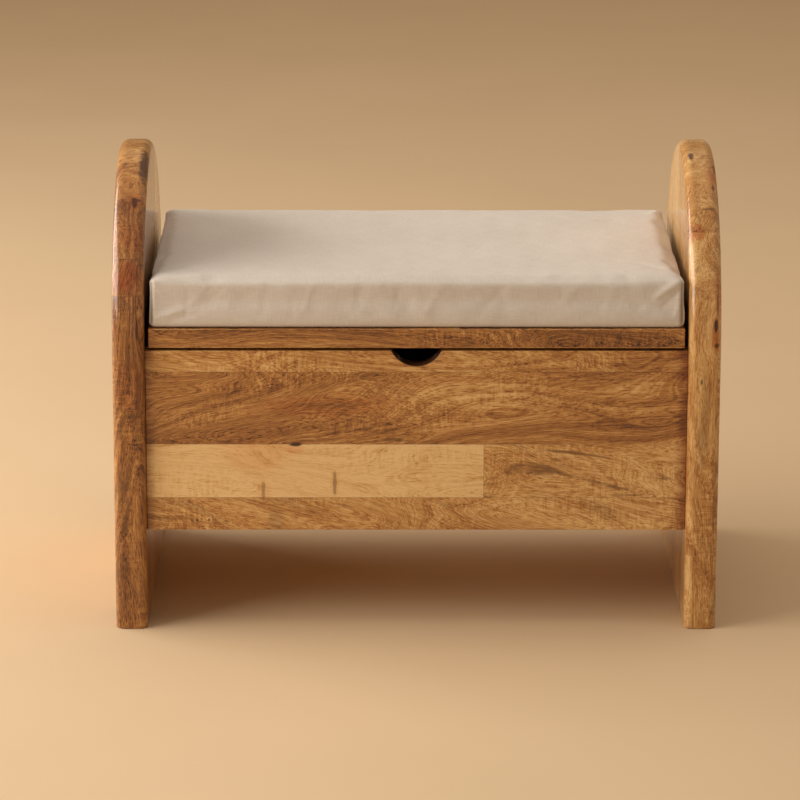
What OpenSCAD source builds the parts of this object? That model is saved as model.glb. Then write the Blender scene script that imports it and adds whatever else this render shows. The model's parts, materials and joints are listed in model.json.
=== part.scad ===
// Wooden toy box with an upholstered lid that doubles as a low bench.
// Two arched side panels stand on the floor and carry a box between them.
// The lid swings up on two butt hinges and is steadied by one lid support.
// +X is to the right, +Y to the back, +Z up; the origin is the centre of the footprint.

/* [Overall] */
// Width across the two side panels
overall_w = 600; // [480:1:720]
// Depth of the side panels, front to back
overall_d = 360; // [300:1:432]
// Height of the arch's crown above the floor
overall_h = 460; // [400:1:552]

/* [Side panels] */
// Thickness of each side panel
side_t = 32; // [28:1:40]
// Radius of the round-over on the side panels' front, top and back edges
side_round = 9; // [3:0.5:12]
// Chamfer under the side panels, where they meet the floor
foot_ease = 1.5; // [0.5:0.5:4]

/* [Box] */
// Height of the box's lower edge above the floor
box_z = 100; // [60:1:140]
// Height of the front and back panels
panel_h = 184; // [150:1:221]
// Thickness of the front and back panels
panel_t = 20; // [16:1:25]
// How far the front and back panels sit in from the side panels' edges
panel_inset = 12; // [8:1:20]
// Chamfer on the edges of the front, back and bottom panels
panel_ease = 0.8; // [0.3:0.1:2]
// Width of the finger notch at the front panel's top edge
notch_w = 49; // [36:1:60]
// Depth of the finger notch below the front panel's top edge
notch_depth = 15.5; // [10:0.5:20]
// Thickness of the bottom panel
bottom_t = 12; // [9:1:16]
// Gap between the bottom panel's edges and the box's walls
bottom_gap = 0.5; // [0.2:0.1:1.5]
// Height and width of the square battens under the bottom panel
batten_w = 18; // [14:1:24]
// How far the battens' undersides sit above the box's lower edge
batten_lift = 2; // [0:0.5:10]

/* [Dowels] */
// Diameter of the dowels that join the panels to the side panels
dowel_d = 8; // [6:1:10]
// Length of each dowel
dowel_l = 38; // [30:1:44]
// How deep each dowel goes into the side panel
dowel_in_side = 16; // [12:1:20]
// Number of dowels at each end of a panel
dowel_count = 3; // [2:1:5]
// Free depth behind each end of a dowel
dowel_end_gap = 1; // [0.5:0.5:3]
// Radial gap round a dowel, filled by glue
dowel_fit = 0.05; // [0.02:0.01:0.1]
// Height at a panel's top and bottom that stays free of dowels
dowel_margin = 10; // [5:1:20]

/* [Lid] */
// Thickness of the lid board
lid_t = 20; // [16:1:25]
// Gap between the box's top edge and the closed lid
lid_gap = 2.5; // [2.5:0.1:4]
// Gap between each end of the lid board and the side panel
lid_side_gap = 3.5; // [2:0.5:6]
// Chamfer on the lid board's edges
lid_ease = 1.2; // [0.5:0.1:3]
// Radius of each soft bumper on the front panel's top edge
bumper_r = 5; // [3:0.5:7]
// Free height between a bumper and the closed lid
bumper_play = 0.3; // [0.3:0.1:0.6]
// Distance from each side panel to the middle of a bumper
bumper_offset = 40; // [20:1:80]

/* [Cushion] */
// Thickness of the cushion
cushion_t = 50; // [36:1:65]
// Gap between each end of the cushion and the side panel
cushion_side_gap = 2.5; // [1:0.5:6]
// Thickness of the canvas cover
cover_t = 1; // [0.6:0.1:2]
// Softened corner of the cushion
cushion_ease = 6; // [2:0.5:10]
// Length of each hook-and-loop strip under the cushion
strip_l = 300; // [120:1:380]
// Width of each hook-and-loop strip
strip_w = 25; // [16:1:40]
// Thickness of one strip, hook or loop
strip_t = 1.2; // [0.8:0.1:1.5]
// Distance from the cushion's front or back to the middle of a strip
strip_offset = 60; // [35:1:90]
// Gap round a strip in the cushion's underside
strip_fit = 0.4; // [0.2:0.1:1]

/* [Hinges] */
// Length of each butt hinge
hinge_l = 50; // [38:1:64]
// Distance from each side panel to the middle of a hinge
hinge_offset = 90; // [60:1:120]
// Width of a hinge leaf on the wood
leaf_w = 16; // [12:1:16]
// Thickness of a hinge leaf
leaf_t = 1.2; // [1:0.1:1.2]
// Outer radius of the hinge knuckles
knuckle_r = 3.5; // [2.8:0.1:4.5]
// Radius of the hinge pin
hinge_pin_r = 1.5; // [1:0.1:2]
// Number of knuckles along a hinge
knuckle_count = 5; // [3:2:7]
// Gap between neighbouring knuckles
knuckle_gap = 0.3; // [0.2:0.05:0.6]
// Gap between the knuckles and the wood
knuckle_clear = 0.3; // [0.3:0.1:1]
// How far a hinge pin's heads stand out round the pin
pin_head_lip = 0.8; // [0.5:0.1:1.5]
// Screws in one hinge leaf
leaf_screw_count = 3; // [2:1:4]

/* [Screws] */
// Shank diameter of the hinge and bracket screws
small_screw_d = 3; // [2.5:0.1:3.5]
// Length of the hinge and bracket screws
small_screw_l = 15; // [12:1:15]
// Shank diameter of the batten and bottom screws
long_screw_d = 3.5; // [3:0.1:4]
// Length of the batten screws
batten_screw_l = 32; // [26:1:33]
// Length of the bottom screws
bottom_screw_l = 25; // [20:1:26]
// Screws in each long batten
long_batten_screws = 4; // [2:1:6]
// Screws in each short batten
short_batten_screws = 3; // [2:1:4]
// Screws from the bottom panel into each long batten
long_bottom_screws = 3; // [2:1:5]
// Screws from the bottom panel into each short batten
short_bottom_screws = 2; // [1:1:3]
// Radial gap between a screw's shank and its pilot hole
pilot_fit = 0.05; // [0.02:0.01:0.1]
// Free depth below a screw's tip
screw_tip_gap = 0.5; // [0.3:0.1:1]

/* [Lid support] */
// Depth of the support's fixed pivot in front of the hinge axis
stay_back = 70; // [60:1:80]
// Drop of the support's fixed pivot below the hinge axis
stay_drop = 75; // [60:1:90]
// Distance of the lid bracket's pivot in front of the hinge axis
bracket_back = 60; // [50:1:70]
// Drop of the lid bracket's pivot below the hinge axis
bracket_drop = 19; // [16:1:24]
// Radius of the damper housing
housing_r = 15; // [13:0.5:17]
// Depth of the damper housing, without its base and cover
housing_h = 11; // [9:0.5:14]
// Thickness of the housing's base and wall
housing_wall = 2.5; // [2:0.5:3]
// Thickness of the housing's cover
housing_cover_t = 1.5; // [1:0.5:2.5]
// Thickness of the arm and of the link
bar_t = 2.5; // [2:0.5:3]
// Width of the arm and of the link
bar_w = 13; // [12:0.5:15]
// Radius of the rivet at the elbow and of the bracket's pin
pivot_r = 2.5; // [2:0.5:3]
// Radial gap in the running pivots
pivot_fit = 0.05; // [0.02:0.01:0.1]
// Radial gap in the link's eye on the lid bracket's pin
bracket_pin_play = 0.4; // [0.3:0.1:0.6]
// Gap between the support's moving layers
layer_gap = 0.6; // [0.4:0.1:1]
// Radius of the damper's shaft
shaft_r = 4; // [3:0.5:4.5]
// Length of the lid bracket's foot
bracket_foot_l = 38; // [34:1:50]
// Width of the lid bracket's foot
bracket_foot_w = 18; // [14:1:24]
// Distance from the ends of the bracket's foot to its screws
bracket_screw_in = 7; // [6:1:9]
// How far the housing's base stands out above and below the housing
base_ear = 13; // [11:1:16]
// Width of the housing's base
base_w = 20; // [16:1:26]
// Corner radius of the housing's base
base_corner = 4; // [2:0.5:6]
// Distance from the housing's wall to the base's screws
base_screw_out = 7; // [6:0.5:8]
// Thickness of the rivet's and the pins' heads
head_t = 1.2; // [0.8:0.1:1.5]
// How far the heads of the rivet and the bracket's pin stand out round them
head_lip = 1.8; // [1:0.1:2.5]
// Radial gap round the damper's rotor
rotor_gap = 0.5; // [0.3:0.1:1]

/* [Hidden] */
$fn = 64;

// Overlap that keeps a cut clear of the face it starts from
eps = 0.5;
// How far a countersunk head sits below its surface
sink = 0.01;

// Sides along X, along Y and along Z
left = -1;
right = 1;
front = -1;
back = 1;
below = -1;
above = 1;

// Proportions of a wood screw, as shares of its shank's diameter: head radius, slot width, slot
// length and twice the slot's depth; then the head's slope and the radius of its tip
head_share = 0.95;
slot_share = 0.28;
slot_reach = 1.2;
slot_cut = 0.5;
head_slope = 1 / 1.1;
tip_r = 0.3;

// Side panels and box
inner_w = overall_w - 2 * side_t;
arch_r = overall_d / 2;
arch_z = overall_h - arch_r;
round_r = min(side_round, side_t / 2 - 1);
box_half_d = overall_d / 2 - panel_inset;
inner_d = 2 * (box_half_d - panel_t);
box_top = box_z + panel_h;
panel_mid_y = box_half_d - panel_t / 2;
batten_z = box_z + batten_lift;
batten_half_y = inner_d / 2 - batten_w / 2;
short_batten_l = inner_d - 2 * batten_w;
bottom_z = batten_z + batten_w;
notch_r = (notch_w * notch_w / 4 + notch_depth * notch_depth) / (2 * notch_depth);

// Lid and cushion
lid_z = box_top + lid_gap;
lid_top = lid_z + lid_t;
lid_w = inner_w - 2 * lid_side_gap;
lid_d = 2 * box_half_d;
cushion_w = inner_w - 2 * cushion_side_gap;
strip_y = lid_d / 2 - strip_offset;
strip_half_l = min(strip_l, cushion_w - 4 * strip_w) / 2;

// Hinges
hinge_axis_y = box_half_d + knuckle_r + knuckle_clear;
hinge_axis_z = box_top + lid_gap / 2;
hinge_x = inner_w / 2 - hinge_offset;
knuckle_l = hinge_l / knuckle_count;
leaf_screw_y = box_half_d - leaf_w / 2;
leaf_gap_half = lid_gap / 2 - leaf_t;

// Lid support, in layers from the right side panel inwards
wall_x = inner_w / 2;
housing_x = wall_x - housing_wall - housing_h;
cover_x = housing_x - housing_cover_t;
arm_x = cover_x - layer_gap - bar_t;
link_x = arm_x - layer_gap - bar_t;
ear_x = link_x - layer_gap - bar_t;
stay_y = hinge_axis_y - stay_back;
stay_z = hinge_axis_z - stay_drop;
bracket_y = hinge_axis_y - bracket_back;
bracket_z = hinge_axis_z - bracket_drop;
elbow_y = bracket_y - stay_back;
elbow_z = bracket_z - stay_drop;
head_r = pivot_r + head_lip;
rotor_r = housing_r - housing_wall - rotor_gap;
base_l = 2 * (housing_r + base_ear);
base_screw_dz = housing_r + base_screw_out;
bracket_screw_dy = bracket_foot_l / 2 - bracket_screw_in;

function spread(i, n, span) = (i + 0.5) / n * span - span / 2;
function dowel_z(i) = box_z + panel_h / 2 + spread(i, dowel_count, panel_h - 2 * dowel_margin);
function head_radius(d) = head_share * d;

// Rectangle with true round corners
module round_rect(w, h, r) {
    square([w, h - 2 * r], center = true);
    square([w - 2 * r, h], center = true);
    for (x_side = [left, right], y_side = [front, back])
        translate([x_side * (w / 2 - r), y_side * (h / 2 - r)]) circle(r);
}

// Rectangle with cut corners
module cut_rect(w, h, c) {
    x = w / 2;
    y = h / 2;
    polygon([
        [c - x, -y], [x - c, -y], [x, c - y], [x, y - c],
        [x - c, y], [c - x, y], [-x, y - c], [-x, c - y]
    ]);
}

// Board with every edge chamfered, centred on the origin
module eased_board(w, d, h, c) {
    intersection() {
        linear_extrude(height = h + 2 * eps, center = true) cut_rect(w, d, c);
        rotate([90, 0, 0]) linear_extrude(height = d + 2 * eps, center = true) cut_rect(w, h, c);
        rotate([90, 0, 90]) linear_extrude(height = w + 2 * eps, center = true) cut_rect(d, h, c);
    }
}

// Cylinder of radius r along +X, from x0 to x1
module bar_x(r, x0, x1) {
    translate([x0, 0, 0]) rotate([0, 90, 0]) cylinder(r = r, h = x1 - x0);
}

// Countersunk wood screw: flat head at z = 0, point downwards
module screw_profile(d, l, gap) {
    hr = head_radius(d);
    r = d / 2 + gap;
    neck = (hr - r) * head_slope;
    rotate_extrude() polygon([
        [0, 0], [hr, 0], [r, -neck], [r, d - l], [tip_r, -l], [0, -l]
    ]);
}

// Screw with a cross slot in its head
module wood_screw(d, l) {
    difference() {
        screw_profile(d, l, 0);
        for (a = [0, 90])
            rotate([0, 0, a]) cube([slot_reach * d, slot_share * d, slot_cut * d], center = true);
    }
}

module screw_hole(d, l) {
    screw_profile(d, l + screw_tip_gap, pilot_fit);
    translate([0, 0, -sink]) cylinder(r = head_radius(d), h = eps);
}

// ---- side panels ----

// Board with straight legs and a half-round top, its front, top and back edges rounded over
module arched_board() {
    intersection() {
        union() {
            linear_extrude(height = arch_z) round_rect(side_t, overall_d, round_r);
            translate([0, 0, arch_z]) rotate([90, 0, 90])
                rotate_extrude(angle = 180, $fn = 128) arch_section();
        }
        rotate([90, 0, 0]) linear_extrude(height = overall_d + 2 * eps, center = true)
            foot_outline(side_t);
        rotate([90, 0, 90]) linear_extrude(height = side_t + 2 * eps, center = true)
            foot_outline(overall_d);
    }
}

// Half of the rounded section, from the arch's centre to its rim
module arch_section() {
    intersection() {
        rotate([0, 0, 90]) round_rect(side_t, overall_d, round_r);
        translate([0, -side_t]) square([arch_r + eps, 2 * side_t]);
    }
}

// Upright rectangle that only trims the two bottom corners
module foot_outline(w) {
    x = w / 2;
    top = overall_h + eps;
    polygon([
        [foot_ease - x, 0], [x - foot_ease, 0], [x, foot_ease],
        [x, top], [-x, top], [-x, foot_ease]
    ]);
}

// Dowels at both ends of the front or back panel, grown by a radial gap and an extra length
module dowel_set(y_side, grow, extra) {
    for (x_side = [left, right], i = [0 : dowel_count - 1])
        translate([0, y_side * panel_mid_y, dowel_z(i)]) mirror([x_side < 0 ? 1 : 0, 0, 0])
            bar_x(dowel_d / 2 + grow, inner_w / 2 + dowel_in_side - dowel_l - extra,
                inner_w / 2 + dowel_in_side + extra);
}

module dowel_holes() {
    dowel_set(front, dowel_fit, dowel_end_gap);
    dowel_set(back, dowel_fit, dowel_end_gap);
}

module side_panel(x_side) {
    difference() {
        translate([x_side * (overall_w - side_t) / 2, 0, 0]) arched_board();
        dowel_holes();
        batten_screw_set(true);
        if (x_side == right) housing_screw_set(true);
    }
}

module left_side_panel() {
    color("sienna") side_panel(left);
}

module right_side_panel() {
    color("peru") side_panel(right);
}

// ---- box ----

module wall_panel(y_side) {
    translate([0, y_side * panel_mid_y, box_z + panel_h / 2])
        eased_board(inner_w, panel_t, panel_h, panel_ease);
}

module front_panel() {
    color("peru") difference() {
        wall_panel(front);
        translate([0, -panel_mid_y, box_top - notch_depth + notch_r]) rotate([90, 0, 0])
            cylinder(r = notch_r, h = panel_t + 2 * eps, center = true, $fn = 96);
        dowel_holes();
        batten_screw_set(true);
    }
}

module back_panel() {
    color("sienna") difference() {
        wall_panel(back);
        dowel_holes();
        batten_screw_set(true);
        hinge_screw_set(below, true);
    }
}

module bottom_panel() {
    color("burlywood") difference() {
        translate([0, 0, bottom_z + bottom_t / 2])
            eased_board(inner_w - 2 * bottom_gap, inner_d - 2 * bottom_gap, bottom_t, panel_ease);
        bottom_screw_set(true);
    }
}

module long_batten(y_side) {
    color("tan") difference() {
        translate([-inner_w / 2, y_side * batten_half_y - batten_w / 2, batten_z])
            cube([inner_w, batten_w, batten_w]);
        batten_screw_set(true);
        bottom_screw_set(true);
    }
}

module short_batten(x_side) {
    color("tan") difference() {
        translate([x_side * (inner_w - batten_w) / 2 - batten_w / 2, -short_batten_l / 2, batten_z])
            cube([batten_w, short_batten_l, batten_w]);
        batten_screw_set(true);
        bottom_screw_set(true);
    }
}

module front_batten() {
    long_batten(front);
}

module rear_batten() {
    long_batten(back);
}

module left_batten() {
    short_batten(left);
}

module right_batten() {
    short_batten(right);
}

module front_dowels() {
    color("wheat") dowel_set(front, 0, 0);
}

module back_dowels() {
    color("wheat") dowel_set(back, 0, 0);
}

// One fastener, or the hole that it needs
module fastener(d, l, as_hole) {
    if (as_hole) screw_hole(d, l);
    else wood_screw(d, l);
}

// Screws from the battens out into the walls
module batten_screw_set(as_hole) {
    z = batten_z + batten_w / 2;
    for (y_side = [front, back], i = [0 : long_batten_screws - 1])
        translate([spread(i, long_batten_screws, inner_w), y_side * (inner_d / 2 - batten_w), z])
            rotate([y_side * 90, 0, 0]) fastener(long_screw_d, batten_screw_l, as_hole);
    for (x_side = [left, right], i = [0 : short_batten_screws - 1])
        translate([x_side * (inner_w / 2 - batten_w), spread(i, short_batten_screws, short_batten_l), z])
            rotate([0, -x_side * 90, 0]) fastener(long_screw_d, batten_screw_l, as_hole);
}

// Screws from the bottom panel down into the battens
module bottom_screw_set(as_hole) {
    z = bottom_z + bottom_t;
    for (y_side = [front, back], i = [0 : long_bottom_screws - 1])
        translate([spread(i, long_bottom_screws, inner_w), y_side * batten_half_y, z])
            fastener(long_screw_d, bottom_screw_l, as_hole);
    for (x_side = [left, right], i = [0 : short_bottom_screws - 1])
        translate([x_side * (inner_w - batten_w) / 2, spread(i, short_bottom_screws, short_batten_l), z])
            fastener(long_screw_d, bottom_screw_l, as_hole);
}

module batten_screws() {
    color("silver") batten_screw_set(false);
}

module bottom_screws() {
    color("silver") bottom_screw_set(false);
}

// Soft discs that quieten the lid
module lid_bumpers() {
    color("dimgray") for (x_side = [left, right])
        translate([x_side * (inner_w / 2 - bumper_offset), -panel_mid_y, box_top])
            cylinder(r = bumper_r, h = lid_gap - bumper_play);
}

// ---- lid and cushion ----

module lid_board() {
    color("peru") difference() {
        translate([0, 0, lid_z + lid_t / 2]) eased_board(lid_w, lid_d, lid_t, lid_ease);
        hinge_screw_set(above, true);
        bracket_screw_set(true);
    }
}

// Two strips along the cushion, from z0 up, grown by a gap all round
module strip_pair(z0, h, grow) {
    for (y_side = [front, back])
        translate([-strip_half_l - grow, y_side * strip_y - strip_w / 2 - grow, z0])
            cube([2 * (strip_half_l + grow), strip_w + 2 * grow, h]);
}

module hook_strips() {
    color("gray") strip_pair(lid_top, strip_t, 0);
}

module loop_strips() {
    color("lightgray") strip_pair(lid_top + strip_t, strip_t, 0);
}

// Cushion block shrunk by an inset all round, its underside clear of the strips
module cushion_block(inset) {
    difference() {
        translate([0, 0, lid_top + cushion_t / 2])
            eased_board(cushion_w - 2 * inset, lid_d - 2 * inset, cushion_t - 2 * inset,
                cushion_ease - inset);
        strip_pair(lid_top - eps, eps + 2 * strip_t + inset, strip_fit + inset);
    }
}

module cushion_foam() {
    color("khaki") cushion_block(cover_t);
}

module cushion_cover() {
    color("antiquewhite") difference() {
        cushion_block(0);
        cushion_block(cover_t);
    }
}

// ---- hinges ----

// Screws of both hinges, down into the back panel or up into the lid
module hinge_screw_set(z_side, as_hole) {
    for (x_side = [left, right], i = [0 : leaf_screw_count - 1])
        translate([x_side * hinge_x + spread(i, leaf_screw_count, hinge_l), leaf_screw_y,
                hinge_axis_z + z_side * leaf_gap_half])
            rotate([z_side == above ? 180 : 0, 0, 0]) fastener(small_screw_d, small_screw_l, as_hole);
}

// Every second knuckle of a hinge, starting with the first or the second
module knuckles(first) {
    for (k = [first : 2 : knuckle_count - 1])
        translate([k * knuckle_l - hinge_l / 2, 0, 0])
            bar_x(knuckle_r, knuckle_gap / 2, knuckle_l - knuckle_gap / 2);
}

// Strips that join a leaf to its own knuckles
module leaf_tongues(first, z0) {
    for (k = [first : 2 : knuckle_count - 1])
        translate([k * knuckle_l - hinge_l / 2 + knuckle_gap / 2, -knuckle_r - knuckle_clear - eps, z0])
            cube([knuckle_l - knuckle_gap, knuckle_r + knuckle_clear + eps, leaf_t]);
}

// Leaf with its knuckles: the one below lies on the back panel, the one above under the lid
module hinge_leaf(x_side, z_side) {
    first = z_side == below ? 0 : 1;
    bore_gap = z_side == below ? 0 : pivot_fit;
    z0 = z_side == below ? -leaf_gap_half - leaf_t : leaf_gap_half;
    difference() {
        translate([x_side * hinge_x, hinge_axis_y, hinge_axis_z]) difference() {
            union() {
                translate([-hinge_l / 2, box_half_d - leaf_w - hinge_axis_y, z0])
                    cube([hinge_l, leaf_w, leaf_t]);
                leaf_tongues(first, z0);
                knuckles(first);
            }
            bar_x(hinge_pin_r + bore_gap, -hinge_l / 2 - eps, hinge_l / 2 + eps);
        }
        hinge_screw_set(z_side, true);
    }
}

module hinge_pin(x_side) {
    translate([x_side * hinge_x, hinge_axis_y, hinge_axis_z]) {
        bar_x(hinge_pin_r, -hinge_l / 2, hinge_l / 2);
        for (end = [left, right])
            translate([end * (hinge_l + head_t) / 2, 0, 0])
                bar_x(hinge_pin_r + pin_head_lip, -head_t / 2, head_t / 2);
    }
}

module left_hinge_case_leaf() {
    color("goldenrod") hinge_leaf(left, below);
}

module left_hinge_lid_leaf() {
    color("goldenrod") hinge_leaf(left, above);
}

module left_hinge_pin() {
    color("darkgoldenrod") hinge_pin(left);
}

module right_hinge_case_leaf() {
    color("goldenrod") hinge_leaf(right, below);
}

module right_hinge_lid_leaf() {
    color("goldenrod") hinge_leaf(right, above);
}

module right_hinge_pin() {
    color("darkgoldenrod") hinge_pin(right);
}

module hinge_case_screws() {
    color("gold") hinge_screw_set(below, false);
}

module hinge_lid_screws() {
    color("gold") hinge_screw_set(above, false);
}

// ---- lid support ----
// Arm, link, lid and box form a parallelogram, so the arm turns exactly with the lid.

module at_stay() {
    translate([0, stay_y, stay_z]) children();
}

module at_elbow() {
    translate([0, elbow_y, elbow_z]) children();
}

module at_bracket() {
    translate([0, bracket_y, bracket_z]) children();
}

// Two screws that hold the housing's base to the right side panel
module housing_screw_set(as_hole) {
    for (z_side = [below, above])
        translate([wall_x - housing_wall, stay_y, stay_z + z_side * base_screw_dz])
            rotate([0, -90, 0]) fastener(small_screw_d, small_screw_l, as_hole);
}

module stay_housing() {
    color("whitesmoke") difference() {
        union() {
            at_stay() bar_x(housing_r, housing_x, wall_x);
            translate([wall_x - housing_wall / 2, stay_y, stay_z]) rotate([90, 0, 90])
                linear_extrude(height = housing_wall, center = true) round_rect(base_w, base_l, base_corner);
        }
        at_stay() bar_x(housing_r - housing_wall, housing_x - eps, wall_x - housing_wall);
        housing_screw_set(true);
    }
}

module stay_cover() {
    color("gainsboro") at_stay() difference() {
        bar_x(housing_r, cover_x, housing_x);
        bar_x(shaft_r + pivot_fit, cover_x - eps, housing_x + eps);
    }
}

module stay_housing_screws() {
    color("silver") housing_screw_set(false);
}

// Rotor inside the housing, with the shaft that carries the arm
module stay_damper() {
    color("dimgray") at_stay() {
        bar_x(rotor_r, housing_x + layer_gap, wall_x - housing_wall - layer_gap);
        bar_x(shaft_r, arm_x - head_t, housing_x + layer_gap + eps);
    }
}

// Flat bar from (0, 0) to (dy, dz) in the YZ plane, with round ends, from x0 inwards
module flat_bar(x0, dy, dz) {
    l = norm([dy, dz]);
    translate([x0, 0, 0]) rotate([atan2(dz, dy), 0, 0]) rotate([90, 0, 90])
        linear_extrude(height = bar_t) {
            translate([0, -bar_w / 2]) square([l, bar_w]);
            circle(bar_w / 2);
            translate([l, 0]) circle(bar_w / 2);
        }
}

module stay_arm() {
    color("silver") difference() {
        at_stay() flat_bar(arm_x, elbow_y - stay_y, elbow_z - stay_z);
        at_stay() bar_x(shaft_r, arm_x - eps, arm_x + bar_t + eps);
        at_elbow() bar_x(pivot_r, arm_x - eps, arm_x + bar_t + eps);
    }
}

// Rivet fixed in the arm, on which the link turns
module stay_elbow_rivet() {
    color("dimgray") at_elbow() {
        bar_x(pivot_r, link_x - layer_gap / 2, arm_x + bar_t);
        bar_x(head_r, link_x - layer_gap / 2 - head_t, link_x - layer_gap / 2);
    }
}

module stay_link() {
    color("silver") difference() {
        at_elbow() flat_bar(link_x, stay_back, stay_drop);
        at_elbow() bar_x(pivot_r + pivot_fit, link_x - eps, link_x + bar_t + eps);
        at_bracket() bar_x(pivot_r + bracket_pin_play, link_x - eps, link_x + bar_t + eps);
    }
}

// Screws from the bracket's foot up into the lid
module bracket_screw_set(as_hole) {
    for (y_side = [front, back])
        translate([ear_x - bracket_foot_w / 2, bracket_y + y_side * bracket_screw_dy, lid_z - bar_t])
            rotate([180, 0, 0]) fastener(small_screw_d, small_screw_l, as_hole);
}

module stay_lid_bracket() {
    color("silver") difference() {
        union() {
            translate([ear_x - bracket_foot_w, bracket_y - bracket_foot_l / 2, lid_z - bar_t])
                cube([bracket_foot_w + bar_t, bracket_foot_l, bar_t]);
            translate([ear_x, bracket_y - bar_w / 2, bracket_z]) cube([bar_t, bar_w, lid_z - bracket_z]);
            at_bracket() bar_x(bar_w / 2, ear_x, ear_x + bar_t);
        }
        at_bracket() bar_x(pivot_r, ear_x - eps, ear_x + bar_t + eps);
        bracket_screw_set(true);
    }
}

// Pin fixed in the bracket's ear, on which the link's eye turns freely
module stay_bracket_pin() {
    color("dimgray") at_bracket() {
        bar_x(pivot_r, ear_x, link_x + bar_t + layer_gap / 2);
        bar_x(head_r, ear_x - head_t, ear_x);
    }
}

module stay_bracket_screws() {
    color("silver") bracket_screw_set(false);
}

left_side_panel();
right_side_panel();
front_panel();
back_panel();
bottom_panel();
front_batten();
rear_batten();
left_batten();
right_batten();
front_dowels();
back_dowels();
batten_screws();
bottom_screws();
lid_bumpers();
lid_board();
hook_strips();
loop_strips();
cushion_foam();
cushion_cover();
left_hinge_case_leaf();
left_hinge_lid_leaf();
left_hinge_pin();
right_hinge_case_leaf();
right_hinge_lid_leaf();
right_hinge_pin();
hinge_case_screws();
hinge_lid_screws();
stay_housing();
stay_cover();
stay_housing_screws();
stay_damper();
stay_arm();
stay_elbow_rivet();
stay_link();
stay_lid_bracket();
stay_bracket_pin();
stay_bracket_screws();
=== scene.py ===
# %% [markdown]
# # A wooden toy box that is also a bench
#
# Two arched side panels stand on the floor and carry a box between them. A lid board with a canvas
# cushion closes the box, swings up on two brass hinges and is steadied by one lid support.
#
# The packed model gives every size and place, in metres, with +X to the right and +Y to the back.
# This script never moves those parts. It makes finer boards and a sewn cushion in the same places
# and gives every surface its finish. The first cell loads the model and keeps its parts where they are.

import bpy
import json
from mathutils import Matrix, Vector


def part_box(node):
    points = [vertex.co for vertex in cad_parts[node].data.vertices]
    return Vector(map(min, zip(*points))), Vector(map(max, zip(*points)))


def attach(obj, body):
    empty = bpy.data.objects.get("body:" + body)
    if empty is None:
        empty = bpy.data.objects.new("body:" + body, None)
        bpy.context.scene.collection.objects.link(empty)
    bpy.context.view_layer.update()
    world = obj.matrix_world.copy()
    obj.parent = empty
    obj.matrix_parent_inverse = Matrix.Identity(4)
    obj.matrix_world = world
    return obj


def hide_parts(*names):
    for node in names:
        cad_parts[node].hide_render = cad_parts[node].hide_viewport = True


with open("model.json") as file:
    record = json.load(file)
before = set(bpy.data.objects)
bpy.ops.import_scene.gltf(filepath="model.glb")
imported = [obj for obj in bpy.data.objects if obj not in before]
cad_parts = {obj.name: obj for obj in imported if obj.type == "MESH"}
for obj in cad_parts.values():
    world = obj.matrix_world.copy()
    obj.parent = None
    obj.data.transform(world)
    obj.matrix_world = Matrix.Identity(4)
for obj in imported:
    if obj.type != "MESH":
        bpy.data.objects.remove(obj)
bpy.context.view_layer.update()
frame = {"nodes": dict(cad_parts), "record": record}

import json
import math
import random

import bmesh
import bpy
import numpy as np
from mathutils import Matrix, Vector

MM = 0.001
X, Y, Z = 0, 1, 2
nodes = frame["nodes"]


# %% [markdown]
# ## The camera
#
# A long lens keeps the box's upright edges nearly parallel, as a furniture photographer would. The
# camera stands a little over four metres in front, slightly left of the middle, and looks down by
# about fifteen degrees. Its matrix is built from three directions, which is easier to check than
# three Euler angles.

# %% Camera
CAMERA_PLACE = Vector((-0.0363, -4.0975, 1.2717))
PITCH_DOWN, YAW, ROLL = 0.2582, 0.0051, -0.0018
LENS_MM, SENSOR_MM = 185.0, 36.0


def camera_directions(pitch, yaw, roll):
    """Right, up and forward of a camera that looks along +Y when all three angles are 0."""
    forward = Vector((math.sin(yaw) * math.cos(pitch), math.cos(yaw) * math.cos(pitch), -math.sin(pitch)))
    level_right = forward.cross(Vector((0, 0, 1))).normalized()
    level_down = forward.cross(level_right).normalized()
    right = math.cos(roll) * level_right + math.sin(roll) * level_down
    down = math.cos(roll) * level_down - math.sin(roll) * level_right
    return right, -down, forward


camera = bpy.data.objects.new("camera", bpy.data.cameras.new("camera"))
camera.data.lens = LENS_MM
camera.data.sensor_width = SENSOR_MM
camera.data.clip_end = 40
right, up, forward = camera_directions(PITCH_DOWN, YAW, ROLL)
camera.matrix_world = Matrix.Translation(CAMERA_PLACE) @ Matrix((right, up, -forward)).transposed().to_4x4()
bpy.context.scene.collection.objects.link(camera)
bpy.context.scene.camera = camera
print("camera looks along", tuple(round(v, 4) for v in forward))


# %% [markdown]
# ## A short way to write node trees
#
# Materials and Geometry Nodes are both trees of nodes joined by links. This small helper adds a
# node, fills its inputs and joins what is passed as a socket, so that a tree reads from top to
# bottom like the steps of a recipe.

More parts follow.
